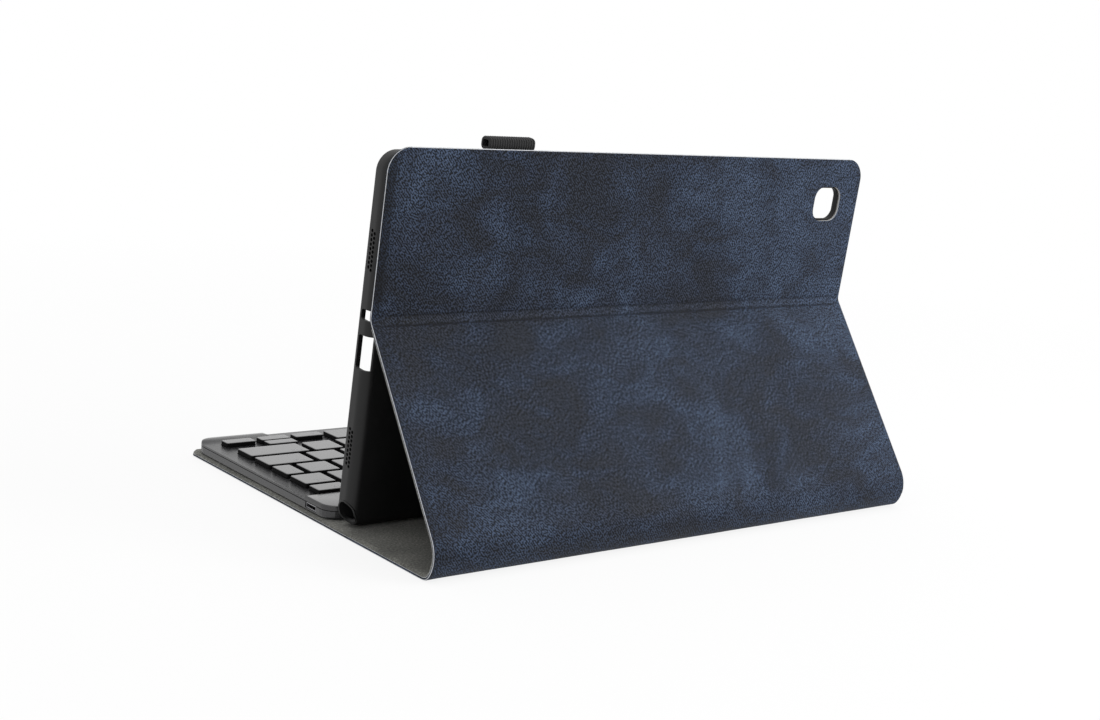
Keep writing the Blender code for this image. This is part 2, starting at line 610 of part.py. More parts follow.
def main():
    clear_scene()
    fold = add_pivot("base_fold", FOLD_Y, 0.0)
    build_base(fold)
    build_spine(fold)
    build_flap(add_pivot("flap_fold", FOLD_Y + FLAP_FOOT[0], FLAP_FOOT[1], FLAP_LEAN))
    build_upper(add_pivot("back_crease", FOLD_Y + CREASE[0], CREASE[1], TRAY_LEAN))
    build_keyboard(add_pivot("keyboard_seat", KEYBOARD_Y, KEYBOARD_Z))


main()
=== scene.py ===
import bpy
import bmesh
import json
import math
from mathutils import Matrix, Vector, noise
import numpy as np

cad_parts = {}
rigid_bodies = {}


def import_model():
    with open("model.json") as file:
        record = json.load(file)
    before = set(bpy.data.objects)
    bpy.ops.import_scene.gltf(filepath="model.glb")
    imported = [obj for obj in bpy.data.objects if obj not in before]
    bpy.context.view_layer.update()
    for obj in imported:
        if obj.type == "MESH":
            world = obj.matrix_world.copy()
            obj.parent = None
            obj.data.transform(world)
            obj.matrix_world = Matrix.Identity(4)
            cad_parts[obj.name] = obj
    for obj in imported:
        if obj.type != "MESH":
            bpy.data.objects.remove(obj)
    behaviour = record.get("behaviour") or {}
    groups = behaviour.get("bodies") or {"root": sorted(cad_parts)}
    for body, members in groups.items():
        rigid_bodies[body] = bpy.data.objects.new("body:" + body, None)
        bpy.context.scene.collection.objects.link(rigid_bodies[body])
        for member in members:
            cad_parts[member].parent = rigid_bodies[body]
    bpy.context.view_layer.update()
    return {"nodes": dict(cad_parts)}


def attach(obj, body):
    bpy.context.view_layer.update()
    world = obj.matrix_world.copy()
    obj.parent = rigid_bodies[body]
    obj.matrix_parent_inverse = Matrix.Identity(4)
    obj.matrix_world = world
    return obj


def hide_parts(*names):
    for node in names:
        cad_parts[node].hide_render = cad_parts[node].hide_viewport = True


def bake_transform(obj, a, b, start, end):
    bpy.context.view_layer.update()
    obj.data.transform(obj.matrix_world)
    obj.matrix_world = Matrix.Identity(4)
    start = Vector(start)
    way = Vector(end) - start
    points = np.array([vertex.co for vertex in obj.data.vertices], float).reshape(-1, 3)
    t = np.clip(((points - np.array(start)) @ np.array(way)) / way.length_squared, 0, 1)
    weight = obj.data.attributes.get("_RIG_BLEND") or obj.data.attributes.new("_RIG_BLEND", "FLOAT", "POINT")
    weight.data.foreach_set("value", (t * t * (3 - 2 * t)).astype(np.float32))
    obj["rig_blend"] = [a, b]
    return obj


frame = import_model()
nodes = frame["nodes"]
mm = 0.001
print("frame loaded,", len(nodes), "nodes")


def lengths(**values):  # given in millimetres, kept in metres
    return {name: value * mm for name, value in values.items()}


# sizes shared by several pieces
case = lengths(half=126.0, foldY=92.1593, spineRadius=12.6106, flapLength=84.5, upperLength=64.7702,
               baseDepth=188.5896, skin=0.8, upperCorner=9.6, baseCorner=4.5)
case["spineStart"] = math.radians(41.4)
case["flapLean"] = math.radians(125.0)
case["backLean"] = math.radians(84.5)


def spinePoint(turn):
    y = case["foldY"] + case["spineRadius"] * (math.sin(turn) - math.sin(case["spineStart"]))
    z = case["spineRadius"] * (math.cos(case["spineStart"]) - math.cos(turn))
    return y, z


flapFoot = spinePoint(case["flapLean"])
crease = (flapFoot[0] + case["flapLength"] * math.cos(case["flapLean"]),
          flapFoot[1] + case["flapLength"] * math.sin(case["flapLean"]))


def backPoint(x, v, w):  # v up the back from the crease, w inwards from the leather face
    lean = case["backLean"]
    return Vector((x, crease[0] + v * math.cos(lean) - w * math.sin(lean),
                   crease[1] + v * math.sin(lean) + w * math.cos(lean)))


# shader maths on sockets
class Signal:
    def __init__(self, tree, socket):
        self.tree = tree
        self.socket = socket

    def maths(self, operation, other=0.0, swap=False):
        node = self.tree.nodes.new("ShaderNodeMath")
        node.operation = operation
        pair = (other, self) if swap else (self, other)
        for slot, value in zip(node.inputs, pair):
            plug(self.tree, slot, value)
        return Signal(self.tree, node.outputs[0])

    def __add__(self, other):
        return self.maths("ADD", other)

    def __sub__(self, other):
        return self.maths("SUBTRACT", other)

    def __rsub__(self, other):
        return self.maths("SUBTRACT", other, True)

    def __mul__(self, other):
        return self.maths("MULTIPLY", other)


def plug(tree, slot, value):
    if isinstance(value, Signal):
        tree.links.new(value.socket, slot)
    elif hasattr(slot.default_value, "__len__") and not hasattr(value, "__len__"):
        slot.default_value = [value] * len(slot.default_value)
    else:
        slot.default_value = value


class Graph:
    def node(self, kind, sockets=None, out=0, **settings):
        made = self.tree.nodes.new(kind)
        for key, value in settings.items():
            if key == "stops":
                ramp = made.color_ramp
                while len(ramp.elements) < len(value):
                    ramp.elements.new(0.5)
                for element, (place, colour) in zip(ramp.elements, value):
                    element.position = place
                    element.color = (*colour, 1.0)
            else:
                setattr(made, key, value)
        for key, value in (sockets or {}).items():
            plug(self.tree, made.inputs[key], value)
        return Signal(self.tree, made.outputs[out])


class Finish(Graph):
    def __init__(self, name):
        self.material = bpy.data.materials.new(name)
        self.material.use_nodes = True
        self.tree = self.material.node_tree
        self.shader = self.tree.nodes["Principled BSDF"]

    def coords(self, own="Object", turn=0.0, stretch=(1.0, 1.0, 1.0)):
        where = self.node("ShaderNodeTexCoord", out=own)
        return self.node("ShaderNodeMapping", {
            "Vector": where, "Rotation": (0, 0, turn), "Scale": stretch})

    def noise(self, where, scale, detail=3.0, rough=0.5, bend=0.0):
        return self.node("ShaderNodeTexNoise", {
            "Vector": where, "Scale": scale, "Detail": detail, "Roughness": rough, "Distortion": bend})

    def wave(self, where, scale, bend, along="X"):
        return self.node("ShaderNodeTexWave", {
            "Vector": where, "Scale": scale, "Distortion": bend, "Detail": 2.0, "Detail Scale": 1.5}, 1,
            wave_type="BANDS", bands_direction=along)

    def ramp(self, value, stops):
        return self.node("ShaderNodeValToRGB", {"Fac": value}, stops=stops)

    def span(self, value, low, high, first=0.0, last=1.0):
        return self.node("ShaderNodeMapRange", {
            "Value": value, "From Min": low, "From Max": high, "To Min": first, "To Max": last}, clamp=True)

    def mix(self, share, first, second):
        return self.node("ShaderNodeMix", {0: share, 6: first, 7: second}, 2, data_type="RGBA")

    def bump(self, height, depth, strength):
        return self.node("ShaderNodeBump", {"Height": height, "Distance": depth, "Strength": strength})

    def set(self, **values):
        names = {"colour": "Base Color", "rough": "Roughness", "metal": "Metallic", "normal": "Normal",
                 "specular": "Specular IOR Level", "sheen": "Sheen Weight", "sheenRough": "Sheen Roughness",
                 "coat": "Coat Weight", "coatRough": "Coat Roughness"}
        for key, value in values.items():
            plug(self.tree, self.shader.inputs[names[key]], value)
        return self.material


def rgb(*values):  # display values 0-255 to scene-linear
    def linear(c):
        return c / 12.92 if c < 0.04045 else ((c + 0.055) / 1.055) ** 2.4
    return tuple(linear(value / 255.0) for value in values)


# leather face and lining follow one line through the back, flap, spine and base
foldLine = lengths(step=0.2, coarse=3.6, softFold=1.9, softCrease=0.9, seam=8.0)


def outerLine():
    step = foldLine["step"]

    def run(start, end, length):
        count = max(2, round(length / step))
        return [(start[0] + (end[0] - start[0]) * i / count, start[1] + (end[1] - start[1]) * i / count)
                for i in range(count)]

    top = backPoint(0, case["upperLength"], 0)
    line = run((top.y, top.z), crease, case["upperLength"])
    corners = [(len(line), foldLine["softCrease"])]
    line += run(crease, flapFoot, case["flapLength"])
    start, end = case["flapLean"], case["spineStart"]
    count = round(case["spineRadius"] * (start - end) / step)
    line += [spinePoint(start + (end - start) * i / count) for i in range(count)]
    corners.append((len(line), foldLine["softFold"]))
    front = (case["foldY"] - case["baseDepth"], 0.0)
    line += run((case["foldY"], 0.0), front, case["baseDepth"]) + [front]
    soft = list(line)
    for at, sigma in corners:
        reach = int(4 * sigma / step)
        for i in range(at - reach, at + reach + 1):
            total = y = z = 0.0
            for j in range(-reach, reach + 1):
                weight = math.exp(-0.5 * (j * step / sigma) ** 2)
                total += weight
                y += weight * line[i + j][0]
                z += weight * line[i + j][1]
            soft[i] = (y / total, z / total)
    return soft, [at for at, _ in corners]


coverLine, (creaseAt, foldAt) = outerLine()
spineTop = creaseAt + round(case["flapLength"] / foldLine["step"])
spineMid = (spineTop + foldAt) // 2
coverLength = [0.0]
for a, b in zip(coverLine, coverLine[1:]):
    coverLength.append(coverLength[-1] + math.hypot(b[0] - a[0], b[1] - a[1]))


def coverFrame(i):  # place on the outer line and the direction inwards
    a = coverLine[max(i - 1, 0)]
    b = coverLine[min(i + 1, len(coverLine) - 1)]
    ty, tz = b[0] - a[0], b[1] - a[1]
    size = math.hypot(ty, tz)
    return coverLine[i], (tz / size, -ty / size)


groove = {
    "lines": ((-1.3 * mm, 0.3 * mm, 0.35), (2.2 * mm, 0.46 * mm, 0.55)),  # place, depth and painted crease shade
    "width": 0.36 * mm, "fade": 6.0 * mm, "end": 1.0 * mm, "shadow": (0.1 * mm, 0.75 * mm),
}


leather = {
    "tones": ((0.42, rgb(12, 20, 35)), (0.485, rgb(24, 34, 52)),
              (0.54, rgb(35, 47, 67)), (0.605, rgb(47, 60, 81))),
    "cloud": 15.0, "blotch": 42.0, "blotchShare": 0.4, "smear": 62.0,
    "wisp": rgb(15, 18, 26), "wispSpan": (0.55, 0.68, 0.0, 0.65),
    "grain": 1700.0, "grainLength": 1.6, "grainTurn": math.radians(40), "twill": 0.9 * mm, "fine": 4200.0,
    "napShares": (0.74, 0.09, 0.17), "napSpan": (0.455, 0.555, 0.15, 1.8),
    "fleck": (0.027, 0.029, 0.032), "fleckSpan": (0.47, 0.58),
    # painted shade: a dark band along the +X edge, strongest on the back panel and fading towards the crease
    "edgeShade": (120.5 * mm, 123.0 * mm), "edgeDark": (0.62, 0.2), "edgeReach": 8 * mm,
    # painted light and shade: the colour is brighter towards −X and darker towards +X
    "sideShade": (1.09, 0.88), "bump": 0.08 * mm,
}


def makeLeather():
    f = Finish("mottledLeather")
    flat = f.coords("UV")
    skew = f.coords("UV", math.radians(28), (1.0, 1.6, 1.0))
    cloud = f.noise(flat, leather["cloud"], 5.0, 0.6, 0.8)
    blotch = f.noise(skew, leather["blotch"], 4.0, 0.55, 1.1)
    tone = cloud * (1 - leather["blotchShare"]) + blotch * leather["blotchShare"]
    colour = f.ramp(tone, leather["tones"])
    smear = f.noise(f.coords("UV", math.radians(-35), (1.0, 2.6, 1.0)), leather["smear"], 8.0, 0.75, 1.6)
    colour = f.mix(f.span(smear, *leather["wispSpan"]), colour, leather["wisp"] + (1.0,))
    where = f.node("ShaderNodeTexCoord", out="UV")
    slant = f.node("ShaderNodeMapping", {
        "Vector": where, "Rotation": (0, 0, leather["grainTurn"]),
        "Scale": (1.0, leather["grainLength"], 1.0)}, vector_type="TEXTURE")
    grain = f.noise(slant, leather["grain"], 1.0, 0.5)
    twill = f.wave(slant, math.pi / 10 / leather["twill"], 2.2)
    fine = f.noise(flat, leather["fine"], 2.0, 0.6)
    shares = leather["napShares"]
    nap = grain * shares[0] + twill * shares[1] + fine * shares[2]
    side = f.node("ShaderNodeSeparateXYZ", {"Vector": where}, 0)
    across = side.maths("ABSOLUTE")
    away = f.node("ShaderNodeSeparateXYZ", {"Vector": where}, 1)
    middle = coverLength[creaseAt]
    # painted shade: the leather's colour is darkened along the two crease grooves, fading out near the side
    # edges
    line = 0.0
    for place, depth, paintedCreaseShade in groove["lines"]:
        gap = (away - (middle + place)).maths("ABSOLUTE")
        line = f.span(gap, *groove["shadow"], paintedCreaseShade, 0.0) + line
    line = line * f.span(across, case["half"] - groove["fade"], case["half"] - groove["end"], 1.0, 0.0)
    # painted shade: a darker band along the +X edge, fading from the back panel towards the crease
    upper = f.span(away, middle - leather["edgeReach"], middle, *leather["edgeDark"])
    paintedLightAndShade = (1 - line) * (1 - f.span(side, *leather["edgeShade"]) * upper)
    # painted light and shade: brighter towards −X, darker towards +X
    paintedLightAndShade = paintedLightAndShade * f.span(side, -case["half"], case["half"], *leather["sideShade"])
    # the grain's contrast times the painted light and shade
    grainAndPaintedShade = f.span(nap, *leather["napSpan"]) * paintedLightAndShade
    tint = f.node("ShaderNodeVectorMath", {"Vector": colour, "Scale": grainAndPaintedShade}, operation="SCALE")
    fleck = f.node("ShaderNodeVectorMath", {
        "Vector": leather["fleck"], "Scale": f.span(nap, *leather["fleckSpan"]) * paintedLightAndShade}, operation="SCALE")
    tint = f.node("ShaderNodeVectorMath", {0: tint, 1: fleck}, operation="ADD")
    height = nap * 0.8 + smear * 0.5
    return f.set(colour=tint, rough=f.span(blotch * 0.5 + grain * 0.5, 0.35, 0.65, 0.6, 0.8),
                 normal=f.bump(height, leather["bump"], 0.7), specular=0.2, sheen=0.02, sheenRough=0.5)


def makeGrained(name, low, high, rough, scale=300.0, detail=3.0, harsh=0.5, stretch=(1.0, 1.0, 1.0), **more):
    f = Finish(name)
    grain = f.noise(f.coords("Object", 0.0, stretch), scale, detail, harsh)
    if "bump" in more:
        more["normal"] = f.bump(grain, 0.1 * mm, more.pop("bump"))
    colour = f.ramp(grain, [(0.3, low), (0.7, high)])
    return f.set(colour=colour, rough=f.span(grain, 0.3, 0.7, *rough), **more)


def makeLining():
    f = Finish("speckledLining")
    flat = f.coords("UV")
    speck = f.noise(flat, 1100.0, 4.0, 0.75)
    drift = f.noise(flat, 60.0, 3.0)
    tone = speck * 0.8 + drift * 0.2
    colour = f.ramp(tone, [(0.36, rgb(60, 60, 57)), (0.5, rgb(99, 99, 94)), (0.64, rgb(142, 142, 135))])
    return f.set(colour=colour, rough=f.span(speck, 0.3, 0.7, 0.8, 0.97),
                 normal=f.bump(speck, 0.12 * mm, 0.7), sheen=0.15, sheenRough=0.6, specular=0.2)


def makeMoulded(name, colour, rough, grain, depth, gloss, coat=0.0):
    f = Finish(name)
    where = f.coords()
    fine = f.noise(where, grain, 3.0, 0.6)
    wear = f.noise(where, 45.0, 5.0, 0.6)
    pale = [min(1.0, c * 1.35 + 0.002) for c in colour]
    tint = f.ramp(wear * 0.6 + fine * 0.4, [(0.35, colour), (0.7, pale)])
    return f.set(colour=tint, rough=f.span(wear * 0.5 + fine * 0.5, 0.3, 0.7, rough - 0.05, rough + 0.05),
                 normal=f.bump(fine, depth, 0.6), specular=gloss, coat=coat, coatRough=0.15)


def makeElastic():
    f = Finish("ribbedElastic")
    where = f.coords()
    weave = f.wave(where, 900.0 / 6.2832, 0.6, "Z")
    fuzz = f.noise(where, 2400.0, 3.0, 0.7)
    colour = f.ramp(weave * 0.5 + fuzz * 0.5, [(0.25, rgb(6, 6, 7)), (0.75, rgb(24, 24, 26))])
    return f.set(colour=colour, rough=f.span(fuzz, 0.3, 0.7, 0.7, 0.9),
                 normal=f.bump(weave + fuzz, 0.1 * mm, 0.6), sheen=0.1, sheenRough=0.5)


def makeMetal(name, colour, rough):  # brushed along X
    return makeGrained(name, [c * 0.85 for c in colour], colour, (rough, rough + 0.15), 120.0, 4.0, 0.6,
                       (1.0, 40.0, 40.0), metal=1.0)


leatherLook = makeLeather()
edgeLook = makeGrained("cutEdge", rgb(176, 178, 182), rgb(226, 228, 232), (0.75, 0.95), 1400.0, 4.0, 0.7,
                       bump=0.6)
liningLook = makeLining()
trayLook = makeMoulded("trayRubber", rgb(10, 10, 11), 0.5, 2200.0, 0.012 * mm, 0.36)
caseLook = makeMoulded("caseBlack", rgb(34, 34, 36), 0.28, 1800.0, 0.002 * mm, 0.6)
# partly painted light: the rim tops carry a slightly lighter copy of the case plastic; their extra gloss is
# the finish
litRimLook = makeMoulded("rimBlack", rgb(38, 38, 40), 0.24, 1800.0, 0.0015 * mm, 0.8, 0.5)
keyLook = makeMoulded("keycapBlack", rgb(44, 44, 46), 0.2, 2400.0, 0.0015 * mm, 0.8, 0.5)
# painted shade: the keycap sides carry a much darker, matte copy of the keycap plastic
shadedKeySideLook = makeMoulded("keycapSide", rgb(7, 7, 8), 0.7, 2400.0, 0.006 * mm, 0.1)
# painted shade: the collar is a darker copy of the tray rubber, for the shaded inner wall of the camera
# window
shadedCollarLook = makeMoulded("collarBlack", rgb(6, 6, 7), 0.55, 2200.0, 0.01 * mm, 0.3)
portLook = makeMetal("portShell", rgb(150, 150, 153), 0.3)
legendLook = makeGrained("keyLegend", rgb(168, 168, 170), rgb(188, 188, 190), (0.5, 0.6))
elasticLook = makeElastic()
boardLook = makeGrained("greyBoard", rgb(128, 122, 112), rgb(168, 162, 150), (0.85, 0.97), 500.0, 5.0, 0.7,
                        bump=0.5)
filmLook = makeGrained("membraneFilm", rgb(150, 152, 146), rgb(170, 172, 168), (0.4, 0.5))
circuitLook = makeGrained("circuitGreen", rgb(16, 74, 44), rgb(24, 92, 56), (0.45, 0.55), 900.0)
foilLook = makeMetal("cellFoil", rgb(190, 192, 196), 0.35)
steelLook = makeMetal("platedSteel", rgb(200, 200, 202), 0.25)
lensLook = makeGrained("lightLens", rgb(206, 208, 210), rgb(228, 230, 232), (0.2, 0.3))
bondLook = makeGrained("bondingSheet", rgb(30, 30, 32), rgb(44, 44, 46), (0.7, 0.8))
print("finishes made,", len(bpy.data.materials), "materials")

cadLooks = (
    (boardLook, ("base_board", "flap_board", "upper_back_board", "spine_stiffener")),
    (steelLook, ("base_magnet_left", "base_magnet_right", "keyboard_magnet_left", "keyboard_magnet_right")),
    (lensLook, ("status_light_1", "status_light_2")),
    (caseLook, ("keyboard_bottom_case", "power_switch")),
    (bondLook, ("tray_bonding_sheet",)),
    (filmLook, ("key_membrane",)),
    (circuitLook, ("circuit_board",)),
    (foilLook, ("battery",)),
    (portLook, ("charging_port",)),
)
for look, names in cadLooks:
    for name in names:
        nodes[name].data.materials.clear()
        nodes[name].data.materials.append(look)


# meshes
joinGap = 1e-7  # corners nearer than this are one


def addObject(name, data):
    made = bpy.data.objects.new(name, data)
    bpy.context.scene.collection.objects.link(made)
    return made


def shadeMesh(mesh, sharp):  # smooth, apart from edges sharper than this many degrees
    mesh.shade_smooth()
    mesh.set_sharp_from_angle(angle=math.radians(sharp))


def fromBmesh(name, body, looks=(), sharp=35.0):
    bmesh.ops.recalc_face_normals(body, faces=body.faces[:])
    mesh = bpy.data.meshes.new(name)
    body.to_mesh(mesh)
    body.free()
    for look in looks:
        mesh.materials.append(look)
    shadeMesh(mesh, sharp)
    return addObject(name, mesh)


def bake(piece):  # modifiers into a plain mesh
    graph = bpy.context.evaluated_depsgraph_get()
    made = bpy.data.meshes.new_from_object(piece.evaluated_get(graph))
    old = piece.data
    piece.modifiers.clear()
    piece.data = made
    made.name = piece.name
    bpy.data.meshes.remove(old)
    return piece


def drop(*pieces):
    for piece in pieces:
        bpy.data.objects.remove(piece)


def carve(piece, cutters, sharp=35.0):
    for cutter in cutters:
        step = piece.modifiers.new("carve", "BOOLEAN")
        step.operation = "DIFFERENCE"
        step.solver = "EXACT"
        step.object = cutter
    bake(piece)
    drop(*cutters)
    shadeMesh(piece.data, sharp)


def roundLoop(x0, x1, y0, y1, radius, steps=8):
    points = []
    corners = ((x1, y0, 270), (x1, y1, 0), (x0, y1, 90), (x0, y0, 180))
    for x, y, start in corners:
        cx = x - radius if x == x1 else x + radius
        cy = y - radius if y == y1 else y + radius
        for i in range(steps + 1):
            turn = math.radians(start + 90 * i / steps)
            points.append((cx + radius * math.cos(turn), cy + radius * math.sin(turn)))
    return points


def loft(body, loops, capStart=True, capEnd=True, look=0):
    rings = [[body.verts.new(p) for p in loop] for loop in loops]
    made = []
    for a, b in zip(rings, rings[1:]):
        for i in range(len(a)):
            j = (i + 1) % len(a)
            made.append(body.faces.new((a[i], a[j], b[j], b[i])))
    if capStart:
        made.append(body.faces.new(rings[0][::-1]))
    if capEnd:
        made.append(body.faces.new(rings[-1]))
    for face in made:
        face.material_index = look
    return made


def halfWidth(s, inset=0.0):
    total = coverLength[-1]
    half = case["half"] - inset
    for gap, radius in ((s, case["upperCorner"]), (total - s, case["baseCorner"])):
        gap = max(gap - inset, 0.0)
        radius = radius - inset
        if gap < radius:
            half = min(half, case["half"] - inset - radius + math.sqrt(radius ** 2 - (radius - gap) ** 2))
    return half


def stations(first, last, fine):  # rows along the line, close together near a fold
    step = foldLine["step"]
    places = []
    i = first
    while i < last:
        places.append(i)
        near = min(abs(i - at) for at, reach in fine) * step
        close = any(abs(i - at) * step <= reach for at, reach in fine)
        i += 2 if close else max(2, round(min(foldLine["coarse"], 0.4 * mm + near * 0.3) / step))
    return places + [last]


def grooveDepth(s):
    middle = coverLength[creaseAt]
    return max(depth * math.exp(-((s - middle - place) / groove["width"]) ** 2)
               for place, depth, paintedCreaseShade in groove["lines"])


sheet = {
    "coreShare": 0.28,  # pale part of a cut edge, from the face
    "columns": 34, "edge": (0.0, 0.12 * mm, 0.4 * mm, 0.8 * mm, 1.2 * mm), "sharp": 40.0,
    "edgeSink": 0.22 * mm, "edgeRound": 0.45 * mm, "upperSteps": 6, "baseSteps": 10,
    "puckerLevel": 0.06 * mm, "puckerLow": 0.10 * mm, "puckerHigh": 0.035 * mm,
}


def pucker(x, s):  # slight unevenness of the glued leather
    low = noise.noise(Vector((x * 22, s * 26, 3.1)))
    high = noise.noise(Vector((x * 75 + s * 20, s * 60, 9.4)))
    return sheet["puckerLow"] * low + sheet["puckerHigh"] * high


def cornerRows(radius, steps):  # rows at even turns round a corner
    return [round(radius * (1 - math.cos(math.radians(t))) / foldLine["step"]) for t in range(0, 91, steps)]


def coverSheet(name, first, last, fine, outer, inner, looks, ends=(False, False), inset=0.0):
    body = bmesh.new()
    uvLayer = body.loops.layers.uv.new("flat")
    rows = stations(first, last, fine)
    if first == 0:
        rows += cornerRows(case["upperCorner"], sheet["upperSteps"])
    if last == len(coverLine) - 1:
        rows += [last - row for row in cornerRows(case["baseCorner"], sheet["baseSteps"])]
    rows = sorted(set(rows))
    edge = sheet["edge"]
    columns = [j / sheet["columns"] for j in range(-sheet["columns"], sheet["columns"] + 1)]
    grid = {}
    core = {}
    flat = {}
    for row in rows:
        (y, z), (ny, nz) = coverFrame(row)
        s = coverLength[row]
        half = halfWidth(s, inset)
        inside = half - edge[-1]
        xs = [-half + e for e in edge[:-1]] + [u * inside for u in columns]
        xs += [half - e for e in edge[-2::-1]]
        for column, x in enumerate(xs):
            gap = min(half - abs(x), s + 1 if not ends[0] else s, coverLength[-1] - s if ends[1] else 1)
            for side, level in enumerate((outer, inner)):
                depth = level(x, s, gap)
                v = body.verts.new((x, y + ny * depth, z + nz * depth))
                grid[row, column, side] = v
                flat[v] = (x, s)
            if column in (0, len(xs) - 1):
                core[row, column] = body.verts.new(grid[row, column, 0].co.lerp(v.co, sheet["coreShare"]))
                flat[core[row, column]] = (x, s)
    count = len(xs)

    def face(corners, look):
        made = body.faces.new(corners)
        made.material_index = look
        for loop in made.loops:
            loop[uvLayer].uv = flat[loop.vert]

    for a, b in zip(rows, rows[1:]):
        for c in range(count - 1):
            bare = c in (0, count - 2) or (ends[0] and a == rows[0])
            face((grid[a, c, 0], grid[a, c + 1, 0], grid[b, c + 1, 0], grid[b, c, 0]), 1 if bare else 0)
            face((grid[a, c, 1], grid[b, c, 1], grid[b, c + 1, 1], grid[a, c + 1, 1]), 0)
        for c in (0, count - 1):
            face((grid[a, c, 0], grid[b, c, 0], core[b, c], core[a, c]), 1)
            face((core[a, c], core[b, c], grid[b, c, 1], grid[a, c, 1]), 0)
    for row, open_ in ((rows[0], ends[0]), (rows[-1], ends[1])):
        for c in range(count - 1):
            corners = [grid[row, c, 0], grid[row, c + 1, 0], grid[row, c + 1, 1], grid[row, c, 1]]
            if c == 0:
                corners.append(core[row, c])
            if c == count - 2:
                corners.insert(2, core[row, c + 1])
            face(corners, 1 if open_ else 0)
    return fromBmesh(name, body, looks, sheet["sharp"])


def skinOuter(x, s, gap):  # creased, uneven and slightly rounded at a cut edge
    fade = min(1.0, max(gap, 0.0) / groove["fade"])
    soft = sheet["edgeSink"] * max(0.0, 1 - gap / sheet["edgeRound"]) ** 2
    return fade * grooveDepth(s) + soft + fade * max(0.0, sheet["puckerLevel"] + pucker(x, s))


def skinInner(x, s, gap):
    return case["skin"]


end = len(coverLine) - 1
seam = creaseAt + round(foldLine["seam"] / foldLine["step"])
skinLooks = [leatherLook, edgeLook]
baseFine = [(spineMid, 4 * mm), (foldAt, 6 * mm)]  # folds that need close rows, and how far round them
coverUpper = coverSheet("leatherBack", 0, seam, [(creaseAt, 4.4 * mm)], skinOuter, skinInner, skinLooks,
                        ends=(True, False))
coverFlap = coverSheet("leatherFlap", seam, spineMid, [(spineTop, 2 * mm), (spineMid, 6 * mm)], skinOuter,
                       skinInner, skinLooks)
coverBase = coverSheet("leatherBase", spineMid, end, baseFine, skinOuter, skinInner, skinLooks,
                       ends=(False, True))
lining = lengths(outer=1.77, inner=2.3, inset=0.15, start=3.0, pinch=1.15, drop=0.8)


def pinched(level):  # lining drops to the leather beyond the board's edge
    def depth(x, s, gap):
        share = max(0.0, 1 - gap / lining["pinch"])
        return level - lining["drop"] * share ** 1.3
    return depth


def liningSheet(name, first, last, fine, ends):
    return coverSheet(name, first, last, fine, pinched(lining["outer"]), pinched(lining["inner"]),
                      [liningLook, edgeLook], ends, lining["inset"])


liningTop = creaseAt + round(lining["start"] / foldLine["step"])
liningFlap = liningSheet("liningFlap", liningTop, spineMid, [(spineMid, 6 * mm)], (False, False))
liningBase = liningSheet("liningBase", spineMid, end, baseFine, (False, True))
print("cover laid along", round(coverLength[-1] / mm), "mm")

camera = lengths(width=16.2, height=15.5, corner=5.5, fromSide=19.6, fromTop=20.2)
cameraX = camera["fromSide"] - case["half"]
cameraV = case["upperLength"] - camera["fromTop"]


def cameraLoop(grow):
    w, h = camera["width"] / 2 + grow, camera["height"] / 2 + grow
    return roundLoop(cameraX - w, cameraX + w, cameraV - h, cameraV + h, camera["corner"] + grow, 10)


def backLoop(outline, level):
    return [backPoint(x, v, level) for x, v in outline]


def backCutter(outline, low, high, look=0, looks=()):
    body = bmesh.new()
    loft(body, [backLoop(outline, low), backLoop(outline, high)], look=look)
    return fromBmesh("cutter", body, looks)


carve(coverUpper, [backCutter(cameraLoop(0.0), -3 * mm, 2 * mm, 1, skinLooks)], sheet["sharp"])

# tray
tray = lengths(half=124.3, foot=84.1298, top=61.9702, corner=8.0, back=2.6, front=11.0, wall=1.3, floor=3.8,
               lip=10.1, lipReach=1.1, edgeRound=4.2, floorRound=2.2)
tray["lipCorner"] = 13.0 * mm  # the lip is wider at the corners
tray["sharp"] = 40.0


def trayLoop(inset, level, radius=None):
    radius = radius or max(tray["corner"] - inset, 1.0 * mm)
    outline = roundLoop(inset - tray["half"], tray["half"] - inset, inset - tray["foot"], tray["top"] - inset,
                        radius, 12)
    return backLoop(outline, level)


def makeTray():
    wall, floor, lip, front, back = (tray[k] for k in ("wall", "floor", "lip", "front", "back"))
    reach = wall + tray["lipReach"]
    r = tray["edgeRound"]
    inner = tray["floorRound"]
    profile = []
    for i in range(6):
        turn = math.radians(18 * i)
        profile.append((wall + inner - inner * math.sin(turn), floor + inner - inner * math.cos(turn)))
    lipEdge = ((wall, 0, lip, -0.3), (wall, 0.15, lip, 0), (reach, -0.25, lip, 0), (reach, -0.07, lip, 0.08),
               (reach, 0, lip, 0.28), (reach, 0, front, -0.4), (reach, -0.1, front, -0.12),
               (reach, -0.35, front, 0), (0, 0.75, front, 0), (0, 0.35, front, -0.1), (0, 0.1, front, -0.35),
               (0, 0, front, -0.75))  # inset and level, each as a base and an offset in mm
    profile += [(a + b * mm, c + d * mm) for a, b, c, d in lipEdge]
    for i in range(10):
        turn = math.radians(10 * i)
        profile.append((r - r * math.cos(turn), back + r - r * math.sin(turn)))
    loops = []
    for inset, level in profile:
        onLip = inset > reach - 0.4 * mm and level >= lip
        loops.append(trayLoop(inset, level, tray["lipCorner"] if onLip else None))
    body = bmesh.new()
    loft(body, loops)
    return fromBmesh("tabletTray", body, [trayLook], tray["sharp"])


def sideCutter(low, high, bottom, top, radius, reach):
    body = bmesh.new()
    outline = roundLoop(low, high, bottom, top, radius, 6)
    ends = (tray["half"] - reach, tray["half"] + 2 * mm)
    loft(body, [[backPoint(x, v, w) for v, w in outline] for x in ends])
    return fromBmesh("cutter", body)


